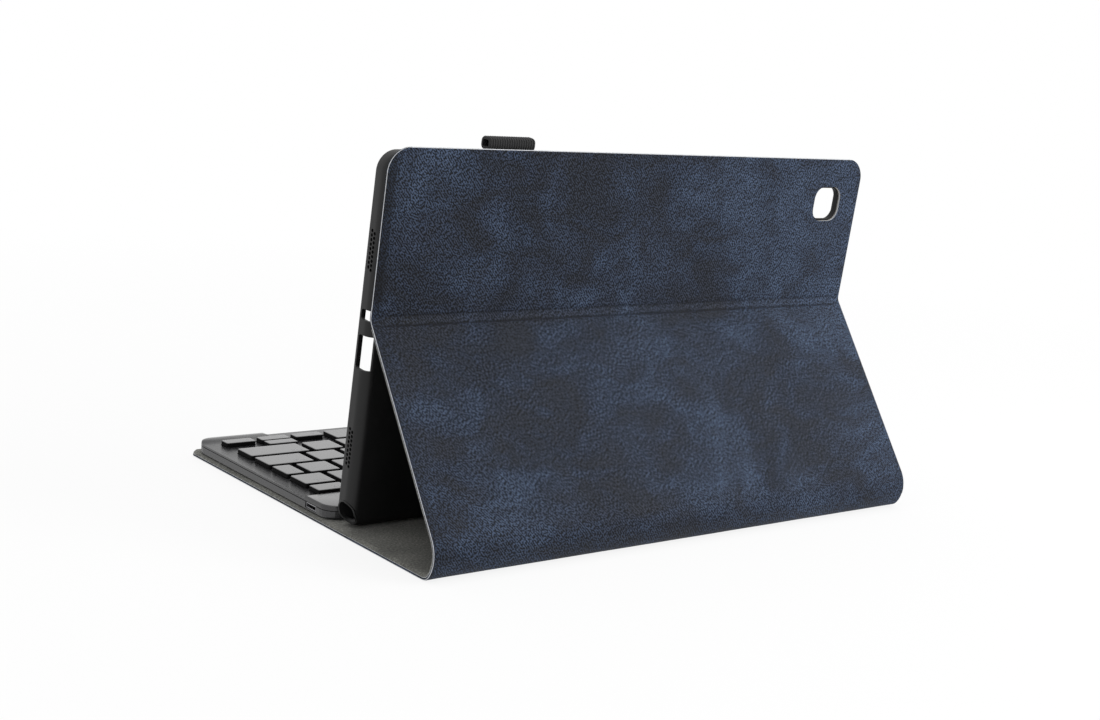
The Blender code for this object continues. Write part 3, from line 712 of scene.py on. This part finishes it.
trayPiece = makeTray()
windows = lengths(low=1.0, high=9.5, round=1.2, cornerLow=1.2, cornerHigh=10.2, cornerFront=10.0,
                  cornerBack=3.2, cornerRound=3.3)
windows["charge"] = (-20.8 * mm, -7.6 * mm)
windows["jack"] = (-1.8 * mm, 2.3 * mm)
cutters = []
for socket in ("charge", "jack"):
    cutters.append(sideCutter(*windows[socket], windows["low"], windows["high"], windows["round"], 3 * mm))
ovalFoot, ovalTop = windows["cornerLow"] - tray["foot"], windows["cornerHigh"] - tray["foot"]
cutters.append(sideCutter(ovalFoot, ovalTop, windows["cornerBack"], windows["cornerFront"],
                          windows["cornerRound"], 7 * mm))
cutters.append(backCutter(cameraLoop(-0.35 * mm), 1.0 * mm, 6 * mm))
carve(trayPiece, cutters, tray["sharp"])


# geometry nodes
class Tree(Graph):
    def __init__(self, name, inputs):
        self.tree = bpy.data.node_groups.new(name, "GeometryNodeTree")
        face = self.tree.interface
        self.ids = {}
        face.new_socket("Geometry", in_out="OUTPUT", socket_type="NodeSocketGeometry")
        for label, kind, value in inputs:
            socket = face.new_socket(label, in_out="INPUT", socket_type="NodeSocket" + kind)
            if value is not None:
                socket.default_value = value
            self.ids[label] = socket.identifier
        self.start = self.tree.nodes.new("NodeGroupInput")
        self.end = self.tree.nodes.new("NodeGroupOutput")

    def take(self, label):
        return Signal(self.tree, self.start.outputs[label])

    def spread(self, shape, points):  # the shape at every point, realized
        held = self.node("GeometryNodeInstanceOnPoints", {"Points": points, "Instance": shape})
        return self.node("GeometryNodeRealizeInstances", {"Geometry": held})

    def paint(self, shape, look="Finish", **only):
        return self.node("GeometryNodeSetMaterial", {
            "Geometry": shape, "Material": self.take(look), **only})

    def row(self, start):  # points along X at the pitch
        stride = self.node("ShaderNodeCombineXYZ", {"X": self.take("Pitch")})
        return self.node("GeometryNodeMeshLine", {
            "Count": self.take("Count"), "Start Location": start, "Offset": stride}, mode="OFFSET")

    def close(self, result):
        self.tree.links.new(result.socket, self.end.inputs[0])
        return self

    def run(self, name, mesh, values):
        piece = addObject(name, mesh)
        step = piece.modifiers.new(name, "NODES")
        step.node_group = self.tree
        for label, value in values.items():
            step[self.ids[label]] = value
        return bake(piece)


def makeHoleTree():  # staggered rows of round holes, run along local X
    t = Tree("speakerHoles", [("Count", "Int", 9), ("Pitch", "Float", 1.9 * mm),
                              ("Row Gap", "Float", 1.7 * mm), ("Radius", "Float", 0.55 * mm),
                              ("Depth", "Float", 6 * mm), ("Finish", "Material", None)])
    pin = t.node("GeometryNodeMeshCylinder", {
        "Vertices": 12, "Radius": t.take("Radius"), "Depth": t.take("Depth")})
    join = t.tree.nodes.new("GeometryNodeJoinGeometry")
    for side in (0, 1):
        start = t.node("ShaderNodeCombineXYZ", {
            "X": t.take("Pitch") * (0.5 * side), "Y": t.take("Row Gap") * (side - 0.5)})
        t.tree.links.new(t.row(start).socket, join.inputs[0])
    return t.close(t.paint(t.spread(pin, Signal(t.tree, join.outputs[0]))))


holeTree = makeHoleTree()
speakers = lengths(level=7.5, pitch=1.72, radius=0.7)
speakers["lows"] = (17.4 * mm, -59.5 * mm)
speakers["count"] = 9
lean = Matrix.Rotation(case["backLean"], 3, "X")
along, across = lean @ Vector((0, 1, 0)), lean @ Vector((0, 0, 1))
turn = Matrix((along, across, along.cross(across))).transposed().to_4x4()
holeCutters = []
for side in (1, -1):
    for low in speakers["lows"]:
        made = holeTree.run("holes", bpy.data.meshes.new("holes"), {
            "Count": speakers["count"], "Pitch": speakers["pitch"], "Radius": speakers["radius"],
            "Finish": trayLook})
        place = backPoint(side * tray["half"], low, speakers["level"])
        made.data.transform(Matrix.Translation(place) @ turn)
        holeCutters.append(made)
carve(trayPiece, holeCutters, tray["sharp"])
print("tray moulded,", len(trayPiece.data.polygons), "faces")

# collar seen through the camera window, blacker than the tray rubber by painted shade, as rings of growth and
# level
collarRings = (
    (-0.15, 2.55), (-0.15, 1.15), (-0.35, 0.95), (-0.55, 0.95), (-0.75, 1.15), (-0.75, 2.55), (-0.15, 2.55),
)
collar = bmesh.new()
loft(collar, [backLoop(cameraLoop(grow * mm), level * mm) for grow, level in collarRings], False, False)
bmesh.ops.remove_doubles(collar, verts=collar.verts[:], dist=joinGap)
cameraCollar = fromBmesh("cameraCollar", collar, [shadedCollarLook], tray["sharp"])

# pen loop
pen = lengths(x=71.1, width=21.2, rise=5.0, back=0.9, depth=6.0, wall=1.2, round=1.9, ribRadius=0.4,
              ribSink=0.3)
pen["bottom"] = case["upperLength"] - 0.9 * mm
pen["tail"] = case["upperLength"] - 14.0 * mm
pen["tailLevels"] = (0.92 * mm, 1.68 * mm)
pen["ribs"] = 19


def penPath(inset):  # round the loop, in (v, w)
    b, f = pen["back"] + inset, pen["back"] + pen["depth"] - inset
    low, high = pen["bottom"] + inset, pen["bottom"] + pen["rise"] - inset
    return roundLoop(low, high, b, f, max(pen["round"] - inset, 0.4 * mm), 5)


def makeRibTree():
    t = Tree("elasticRibs", [("Geometry", "Geometry", None), ("Count", "Int", 27),
                             ("Pitch", "Float", 0.9 * mm), ("Radius", "Float", 0.34 * mm),
                             ("Finish", "Material", None)])
    curve = t.node("GeometryNodeMeshToCurve", {"Mesh": t.take("Geometry")})
    ring = t.node("GeometryNodeCurvePrimitiveCircle", {"Resolution": 8, "Radius": t.take("Radius")})
    rib = t.node("GeometryNodeCurveToMesh", {"Curve": curve, "Profile Curve": ring})
    start = t.node("ShaderNodeCombineXYZ", {"X": t.take("Pitch") * (t.take("Count") - 1) * -0.5})
    return t.close(t.paint(t.spread(rib, t.row(start))))


ribTree = makeRibTree()


def runRibs(name, places, values):  # ribs along a closed path
    count = len(places)
    path = bpy.data.meshes.new("path")
    path.from_pydata(places, [(i, (i + 1) % count) for i in range(count)], [])
    made = ribTree.run(name, path, values)
    made.data.shade_smooth()
    return made


def makePenLoop():
    half = pen["width"] / 2
    body = bmesh.new()
    outer, inner = penPath(0.18 * mm), penPath(pen["wall"] - 0.1 * mm)
    loops = []
    for path, x in ((outer, -half), (outer, half), (inner, half), (inner, -half), (outer, -half)):
        loops.append([backPoint(pen["x"] + x, v, w) for v, w in path])
    loft(body, loops, False, False)
    bmesh.ops.remove_doubles(body, verts=body.verts[:], dist=joinGap)
    tail = roundLoop(-half, half, pen["tail"], pen["bottom"] + 0.5 * mm, 0.5 * mm, 3)
    loft(body, [[backPoint(pen["x"] + x, v, w) for x, v in tail] for w in pen["tailLevels"]])
    band = fromBmesh("penLoop", body, [elasticLook], 40.0)
    places = [backPoint(pen["x"], v, w) for v, w in penPath(pen["ribSink"])]
    ribs = runRibs("penRibs", places, {"Count": pen["ribs"], "Pitch": pen["width"] / pen["ribs"],
                                       "Radius": pen["ribRadius"], "Finish": elasticLook})
    return band, ribs


penLoop, penRibs = makePenLoop()
print("pen loop ribbed,", pen["ribs"], "ribs")

# raised rim round the corner window
cornerRim = lengths(grow=0.25, radius=0.42, sink=0.05)


def traySide(v, w):  # the tray's outer face beside its foot
    r, rise = tray["edgeRound"], w - tray["back"]
    inset = r - math.sqrt(r ** 2 - (r - rise) ** 2) if rise < r else 0.0
    corner = tray["corner"] - inset
    up = max(v + tray["foot"] - inset, 0.0)
    turn = corner - math.sqrt(corner ** 2 - (corner - up) ** 2) if up < corner else 0.0
    return tray["half"] - inset - turn


def makeCornerRim():
    grow = cornerRim["grow"]
    outline = roundLoop(ovalFoot - grow, ovalTop + grow, windows["cornerBack"] - grow,
                        windows["cornerFront"] + grow, windows["cornerRound"] + grow, 8)
    places = [backPoint(traySide(v, w) - cornerRim["sink"], v, w) for v, w in outline]
    return runRibs("cornerRim", places, {"Count": 1, "Radius": cornerRim["radius"], "Finish": trayLook})


rimPiece = makeCornerRim()

# keyboard
keyboard = lengths(
    halfX=125.2, halfY=57.5, y=-34.9303, z=2.6, corner=7.0, deckBottom=3.5, deckTop=4.3, rimTop=5.5,
    sideRim=5.8, frontRim=9.5, rearStrip=20.5, horn=36.0, wellMargin=1.0, gapX=3.0, gapY=2.4, clearance=0.35,
    arrowGap=1.2, keyBottom=2.8, keyTop=6.3, web=0.4, webEnd=0.7, lightFromSide=15.0, lightFromRear=7.0,
    lightSpacing=5.5, lightRadius=1.0)
keyboard.update(
    rimEdge=((0.0, 0.9), (0.08, 0.52), (0.27, 0.2), (0.55, 0.05), (0.9, 0.0)),  # inset and drop in mm
    riseSteps=((0.0, 0.0), (0.25, 0.06), (0.6, 0.3), (0.95, 0.7), (1.3, 0.94), (1.7, 1.02), (1.7, 3.0)),
    frontSlope=4, rearSlope=1, hornSlope=3)
keyUnit = (2 * keyboard["halfX"] - 2 * keyboard["sideRim"]) / 14
keyRows = (
    ("function", 8.0, "Esc F1 F2 F3 F4 F5 F6 F7 F8 F9 F10 F11".split(), (1,) * 12,
     (("key_f12", 1, "F12"), ("key_delete", 1, "Del"))),
    ("number", 13.0, "` 1 2 3 4 5 6 7 8 9 0".split(), (1,) * 11,
     (("key_minus", 1, "-"), ("key_equals", 1, "="), ("key_backspace", 1, "Back"))),
    ("upper", 13.0, "Tab Q W E R T Y U I O".split(), (1.34,) + (1,) * 9,
     (("key_p", 1, "P"), ("key_bracket_left", 1, "["), ("key_bracket_right", 1, "]"),
      ("key_backslash", 0.66, "\\"))),
    ("home", 13.0, "Caps A S D F G H J K".split(), (1.56,) + (1,) * 8,
     (("key_l", 1, "L"), ("key_semicolon", 1, ";"), ("key_quote", 1, "'"), ("key_enter", 1.44, "Enter"))),
    ("lower", 13.0, "Shift Z X C V B N M ,".split(), (2.17,) + (1,) * 8,
     (("key_period", 1, "."), ("key_slash", 1, "/"), ("key_shift_right", 1.83, "Shift"))),
    ("bottom", 13.0, "Ctrl Fn Opt Alt".split(), (1,) * 4,
     (("key_space", 5, ""), ("key_alt_right", 1, "Alt"), ("key_control_right", 1, "Ctrl"),
      ("/key_arrow_left", 1, "/<"), ("key_arrow_up/key_arrow_down", 1, "^/v"),
      ("/key_arrow_right", 1, "/>"))),
)


class Cell:
    def __init__(self, name, left, right, front, rear, word):
        self.name = name
        self.word = word
        self.left, self.right = left, right
        self.front, self.rear = front, rear

    def loop(self, grow, corner):
        return roundLoop(self.left - grow, self.right + grow, self.front - grow, self.rear + grow, corner, 4)


def keyCells():
    rear = keyboard["halfY"] - keyboard["rearStrip"]
    made = []
    for row, depth, words, banked, singles in keyRows:
        depth = depth * mm
        front = rear - depth
        left = -7 * keyUnit
        plan = [("key_bank_" + row, units, word) for units, word in zip(banked, words)] + list(singles)
        for name, units, word in plan:
            right = left + units * keyUnit
            low, high = left + keyboard["gapX"] / 2, right - keyboard["gapX"] / 2
            if "/" in name:  # half-height keys, one over the other
                half = (depth - keyboard["arrowGap"]) / 2
                up, down = name.split("/")
                marks = word.split("/")
                if up:
                    made.append(Cell(up, low, high, rear - half, rear, marks[0]))
                made.append(Cell(down, low, high, front, front + half, marks[1]))
            else:
                made.append(Cell(name, low, high, front, rear, word))
            left = right
        rear = front - keyboard["gapY"]
    return made


cells = keyCells()
keySeat = Vector((0, keyboard["y"], keyboard["z"]))


def flatLoop(outline, level):
    return [keySeat + Vector((x, y, level)) for x, y in outline]


def riseLine(near, far, nearSlope, farSlope):  # clears above the deck, with a soft slope at both ends
    low, high = keyboard["deckTop"], keyboard["rimTop"]
    steps = keyboard["riseSteps"]
    line = [(near - nearSlope * d * mm, low + h * (high - low)) for d, h in steps]
    return line + [(far + farSlope * d * mm, low + h * (high - low)) for d, h in reversed(steps)]


def makeTopCase():
    k = keyboard
    hx, hy, low, high = k["halfX"], k["halfY"], k["deckBottom"], k["rimTop"]
    profile = [(0.0, low)] + [(inset * mm, high - drop * mm) for inset, drop in k["rimEdge"]]
    loops = [flatLoop(roundLoop(i - hx, hx - i, i - hy, hy - i, k["corner"] - i, 10), z) for i, z in profile]
    body = bmesh.new()
    loft(body, loops)
    piece = fromBmesh("keyboardDeck", body, [caseLook, litRimLook])
    over = 2 * mm
    rear = hy - k["rearStrip"] + k["wellMargin"]
    front = k["frontRim"] - hy - k["wellMargin"]
    well = bmesh.new()
    line = riseLine(front, rear, k["frontSlope"], k["rearSlope"])
    loft(well, [[keySeat + Vector((x, y, z)) for y, z in line] for x in (-hx - over, hx + over)])
    gap = bmesh.new()
    line = riseLine(k["horn"] - hx, hx - k["horn"], k["hornSlope"], k["hornSlope"])
    loft(gap, [[keySeat + Vector((x, y, z)) for x, z in line] for y in (-hy - over, front + over)])
    carve(piece, [fromBmesh("cutter", well), fromBmesh("cutter", gap)])
    holes = bmesh.new()
    for cell in cells:
        outline = cell.loop(k["clearance"], 1.0 * mm)
        loft(holes, [flatLoop(outline, low - 1 * mm), flatLoop(outline, k["deckTop"] + 0.6 * mm)])
    for index in range(2):
        x, y = hx - k["lightFromSide"], hy - k["lightFromRear"] - index * k["lightSpacing"]
        turns = [math.radians(t) for t in range(0, 360, 20)]
        disc = [(x + k["lightRadius"] * math.cos(t), y + k["lightRadius"] * math.sin(t)) for t in turns]
        loft(holes, [flatLoop(disc, low - 1 * mm), flatLoop(disc, high + 1 * mm)])
    carve(piece, [fromBmesh("cutter", holes)])
    # the rim's top faces take the lighter, painted-light copy of the case plastic
    for face in piece.data.polygons:
        if face.center.z > keySeat.z + high - 0.04 * mm:
            face.material_index = 1
    return piece


topCase = makeTopCase()
print("keyboard deck cut,", len(cells), "key windows")

capShape = lengths(half=4.0, corner=0.75, edge=0.28)
capShape["sharp"] = 50.0


def makeCapTemplate():  # one keycap about its own middle, stretched later from its corner signs
    a, top, bottom = capShape["half"], keyboard["keyTop"], keyboard["keyBottom"]
    edge = capShape["edge"]
    rings = [(0.0, bottom), (0.0, top - edge)]
    rings += [(edge * (1 - math.cos(math.radians(t))), top - edge + edge * math.sin(math.radians(t)))
              for t in (30, 60)]
    rings += [(edge, top), (edge + 0.5 * mm, top)]
    body = bmesh.new()
    signX = body.verts.layers.float.new("signX")
    signY = body.verts.layers.float.new("signY")
    loops = []
    for inset, z in rings:
        r = max(capShape["corner"] - inset * 0.7, 0.3 * mm)
        outline = roundLoop(inset - a, a - inset, inset - a, a - inset, r, 4)
        loops.append([Vector((x, y, z)) for x, y in outline])
    for face in loft(body, loops):
        # top faces take the keycap plastic, the sides its darker painted-shade copy
        face.material_index = 0 if face.calc_center_median().z > top - 0.6 * edge else 1
    for v in body.verts:
        v[signX] = 1.0 if v.co.x > 0 else -1.0
        v[signY] = 1.0 if v.co.y > 0 else -1.0
    return fromBmesh("capTemplate", body, [keyLook, shadedKeySideLook], capShape["sharp"])


def makeCapTree():
    t = Tree("keyCaps", [("Geometry", "Geometry", None), ("Cap", "Object", None),
                         ("Cap Half", "Float", 4 * mm), ("Finish", "Material", None),
                         ("Sides", "Material", None)])
    cap = t.node("GeometryNodeObjectInfo", {"Object": t.take("Cap")}, "Geometry")
    caps = t.spread(cap, t.take("Geometry"))

    def named(label):
        return t.node("GeometryNodeInputNamedAttribute", {"Name": label}, data_type="FLOAT")

    grow = t.node("ShaderNodeCombineXYZ", {
        "X": named("signX") * (named("keyWidth") * 0.5 - t.take("Cap Half")),
        "Y": named("signY") * (named("keyDepth") * 0.5 - t.take("Cap Half"))})
    moved = t.node("GeometryNodeSetPosition", {"Geometry": caps, "Offset": grow})
    sides = t.node("GeometryNodeInputMaterialIndex")
    topped = t.paint(moved, "Finish", Selection=1 - sides)
    return t.close(t.paint(topped, "Sides", Selection=sides))


legendShape = lengths(letter=3.6, word=2.7, left=2.2, rear=1.9, rise=0.012, swell=0.05)


def legend(cell):
    size = legendShape["letter" if len(cell.word) == 1 else "word"]
    curve = bpy.data.curves.new("legend", "FONT")
    curve.body = cell.word
    curve.size = size
    curve.resolution_u = 2
    curve.extrude = legendShape["rise"]
    curve.offset = legendShape["swell"]
    text = addObject("legend", curve)
    bpy.context.view_layer.update()
    mesh = bpy.data.meshes.new_from_object(text.evaluated_get(bpy.context.evaluated_depsgraph_get()))
    drop(text)
    bpy.data.curves.remove(curve)
    corner = Vector((cell.left + legendShape["left"], cell.rear - legendShape["rear"] - size * 0.75,
                     keyboard["keyTop"] + legendShape["rise"]))
    mesh.transform(Matrix.Translation(keySeat + corner))
    return mesh


def makeKeys():
    template = makeCapTemplate()
    tree = makeCapTree()
    bottom = keyboard["keyBottom"]
    made = {}
    for name in dict.fromkeys(cell.name for cell in cells):
        group = [cell for cell in cells if cell.name == name]
        middles = [Vector(((c.left + c.right) / 2, (c.front + c.rear) / 2, 0)) for c in group]
        seed = bpy.data.meshes.new(name)
        seed.from_pydata([keySeat + middle for middle in middles], [], [])
        wide = seed.attributes.new("keyWidth", "FLOAT", "POINT")
        deep = seed.attributes.new("keyDepth", "FLOAT", "POINT")
        for i, cell in enumerate(group):
            wide.data[i].value = cell.right - cell.left
            deep.data[i].value = cell.rear - cell.front
        words = name.split("_")
        label = words[0] + "".join(w.capitalize() for w in words[1:])
        piece = tree.run(label, seed, {"Cap": template, "Cap Half": capShape["half"], "Finish": keyLook,
                                       "Sides": shadedKeySideLook})
        body = bmesh.new()
        body.from_mesh(piece.data)
        for layer in ("signX", "signY", "keyWidth", "keyDepth"):
            old = body.verts.layers.float.get(layer)
            if old is not None:
                body.verts.layers.float.remove(old)
        low, high = group[0].left - keyboard["webEnd"], group[-1].right + keyboard["webEnd"]
        web = roundLoop(low, high, group[0].front, group[0].rear, 0.6 * mm, 2)
        loft(body, [flatLoop(web, bottom), flatLoop(web, bottom + keyboard["web"])])
        bmesh.ops.recalc_face_normals(body, faces=body.faces[:])
        legendIndex = len(piece.data.materials)
        piece.data.materials.append(legendLook)
        for cell in group:
            if cell.word:
                mark = legend(cell)
                for face in mark.polygons:
                    face.material_index = legendIndex
                body.from_mesh(mark)
                bpy.data.meshes.remove(mark)
        body.to_mesh(piece.data)
        body.free()
        shadeMesh(piece.data, capShape["sharp"])
        made[name] = piece
    drop(template)
    return made


keys = makeKeys()
print("keys set,", len(keys), "pieces")


def linePlace(at, offset):  # a place on the cover's line, beside a fold
    return Vector((0, *coverLine[at + round(offset / foldLine["step"])]))


# every piece follows its body
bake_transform(coverUpper, "back", "flap", linePlace(creaseAt, -2.4 * mm), linePlace(creaseAt, 4.0 * mm))
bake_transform(coverFlap, "flap", "spine", linePlace(spineTop, -3.0 * mm), linePlace(spineTop, 4.0 * mm))
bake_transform(coverBase, "spine", "base", linePlace(foldAt, -4.0 * mm), linePlace(foldAt, 3.0 * mm))
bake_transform(liningFlap, "flap", "spine", linePlace(spineTop, -3.0 * mm), linePlace(spineTop, 4.0 * mm))
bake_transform(liningBase, "spine", "base", linePlace(foldAt, -4.0 * mm), linePlace(foldAt, 3.0 * mm))
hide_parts("upper_back_skin")
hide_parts("flap_skin")
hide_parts("spine_skin", "base_skin")
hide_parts("flap_lining")
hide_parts("spine_lining", "base_lining")
for piece, look in ((trayPiece, "tray_rubber"), (cameraCollar, "tray_rubber"), (rimPiece, "tray_rubber"),
                    (penLoop, "loop_elastic"), (penRibs, "loop_elastic")):
    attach(piece, "back")
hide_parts("tablet_tray")
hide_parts("pen_loop")
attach(topCase, "keyboard")
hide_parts("keyboard_top_case")
for name, piece in keys.items():
    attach(piece, name)
    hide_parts(name)

# floor, light and camera
studio = {
    "floorHalf": 6.0, "floorLevel": -0.2 * mm, "floorTone": 0.92, "world": 0.7,
    "shadowReach": (0.25, 0.8), "shadowWhite": (0.86, 1.0),  # the shadow fades out into plain white
}
lamps = {
    "topLight": {"place": (-0.1, 0.2, 1.3), "aim": (0, 0, 0.05), "size": (1.4, 1.0), "power": 5.0},
    "sideLight": {"place": (-0.55, 0.7, 0.55), "aim": (-0.05, 0.05, 0.08), "size": (0.5, 0.5), "power": 3.2},
}


def makeFloor():
    body = bmesh.new()
    signs = ((-1, -1), (1, -1), (1, 1), (-1, 1))
    size = studio["floorHalf"]
    body.faces.new([body.verts.new((x * size, y * size, studio["floorLevel"])) for x, y in signs])
    f = Finish("paleFloor")
    f.set(colour=[studio["floorTone"]] * 3 + [1.0], rough=0.9, specular=0.0)
    path = f.node("ShaderNodeLightPath", out="Is Camera Ray")
    mirror = f.node("ShaderNodeLightPath", out="Is Glossy Ray")
    glow = f.node("ShaderNodeEmission", {"Color": (1, 1, 1, 1), "Strength": 1.0})
    away = f.node("ShaderNodeVectorMath", {"Vector": f.coords()}, "Value", operation="LENGTH")
    white = f.span(away, *studio["shadowReach"], *studio["shadowWhite"])
    joint = f.node("ShaderNodeMixShader", {
        0: (path + mirror) * white, 1: Signal(f.tree, f.shader.outputs[0]), 2: glow})
    f.tree.links.new(joint.socket, f.tree.nodes["Material Output"].inputs["Surface"])
    floor = fromBmesh("floor", body, [f.material])


def makeWorld():
    world = bpy.data.worlds.new("studio")
    world.use_nodes = True
    tree = world.node_tree
    ground = tree.nodes["Background"]
    ground.inputs["Color"].default_value = (1, 1, 1, 1)
    path = tree.nodes.new("ShaderNodeLightPath").outputs
    seen = (Signal(tree, path["Is Camera Ray"]) + Signal(tree, path["Is Glossy Ray"])
            + Signal(tree, path["Is Transmission Ray"]))
    plug(tree, ground.inputs["Strength"],
         seen.maths("MINIMUM", 1.0) * (1 - studio["world"]) + studio["world"])
    bpy.context.scene.world = world


def addLamp(name, place, aim, size, power):
    lamp = bpy.data.lights.new(name, "AREA")
    lamp.shape = "RECTANGLE"
    lamp.size, lamp.size_y = size
    lamp.energy = power
    made = addObject(name, lamp)
    made.location = place
    made.rotation_euler = (Vector(aim) - Vector(place)).to_track_quat("-Z", "Y").to_euler()


makeFloor()
makeWorld()
for name, lamp in lamps.items():
    addLamp(name, **lamp)
view = {"place": (0.447753, 0.553829, 0.192014), "aim": (0.0, -0.00486, 0.05401), "roll": 4.65,
        "lens": 54.154, "sensor": 36.0}


def makeCamera():
    lens = bpy.data.cameras.new("camera")
    lens.lens = view["lens"]
    lens.sensor_width = view["sensor"]
    lens.sensor_fit = "HORIZONTAL"
    lens.clip_start = 0.01
    made = addObject("camera", lens)
    back = (Vector(view["place"]) - Vector(view["aim"])).normalized()
    right = Vector((0, 0, 1)).cross(back).normalized()
    up = back.cross(right)
    c, s = math.cos(math.radians(view["roll"])), math.sin(math.radians(view["roll"]))
    turned = Matrix((right * c + up * s, up * c - right * s, back)).transposed()
    made.matrix_world = Matrix.Translation(view["place"]) @ turned.to_4x4()
    bpy.context.scene.camera = made


makeCamera()
bpy.context.scene.view_settings.view_transform = "Standard"
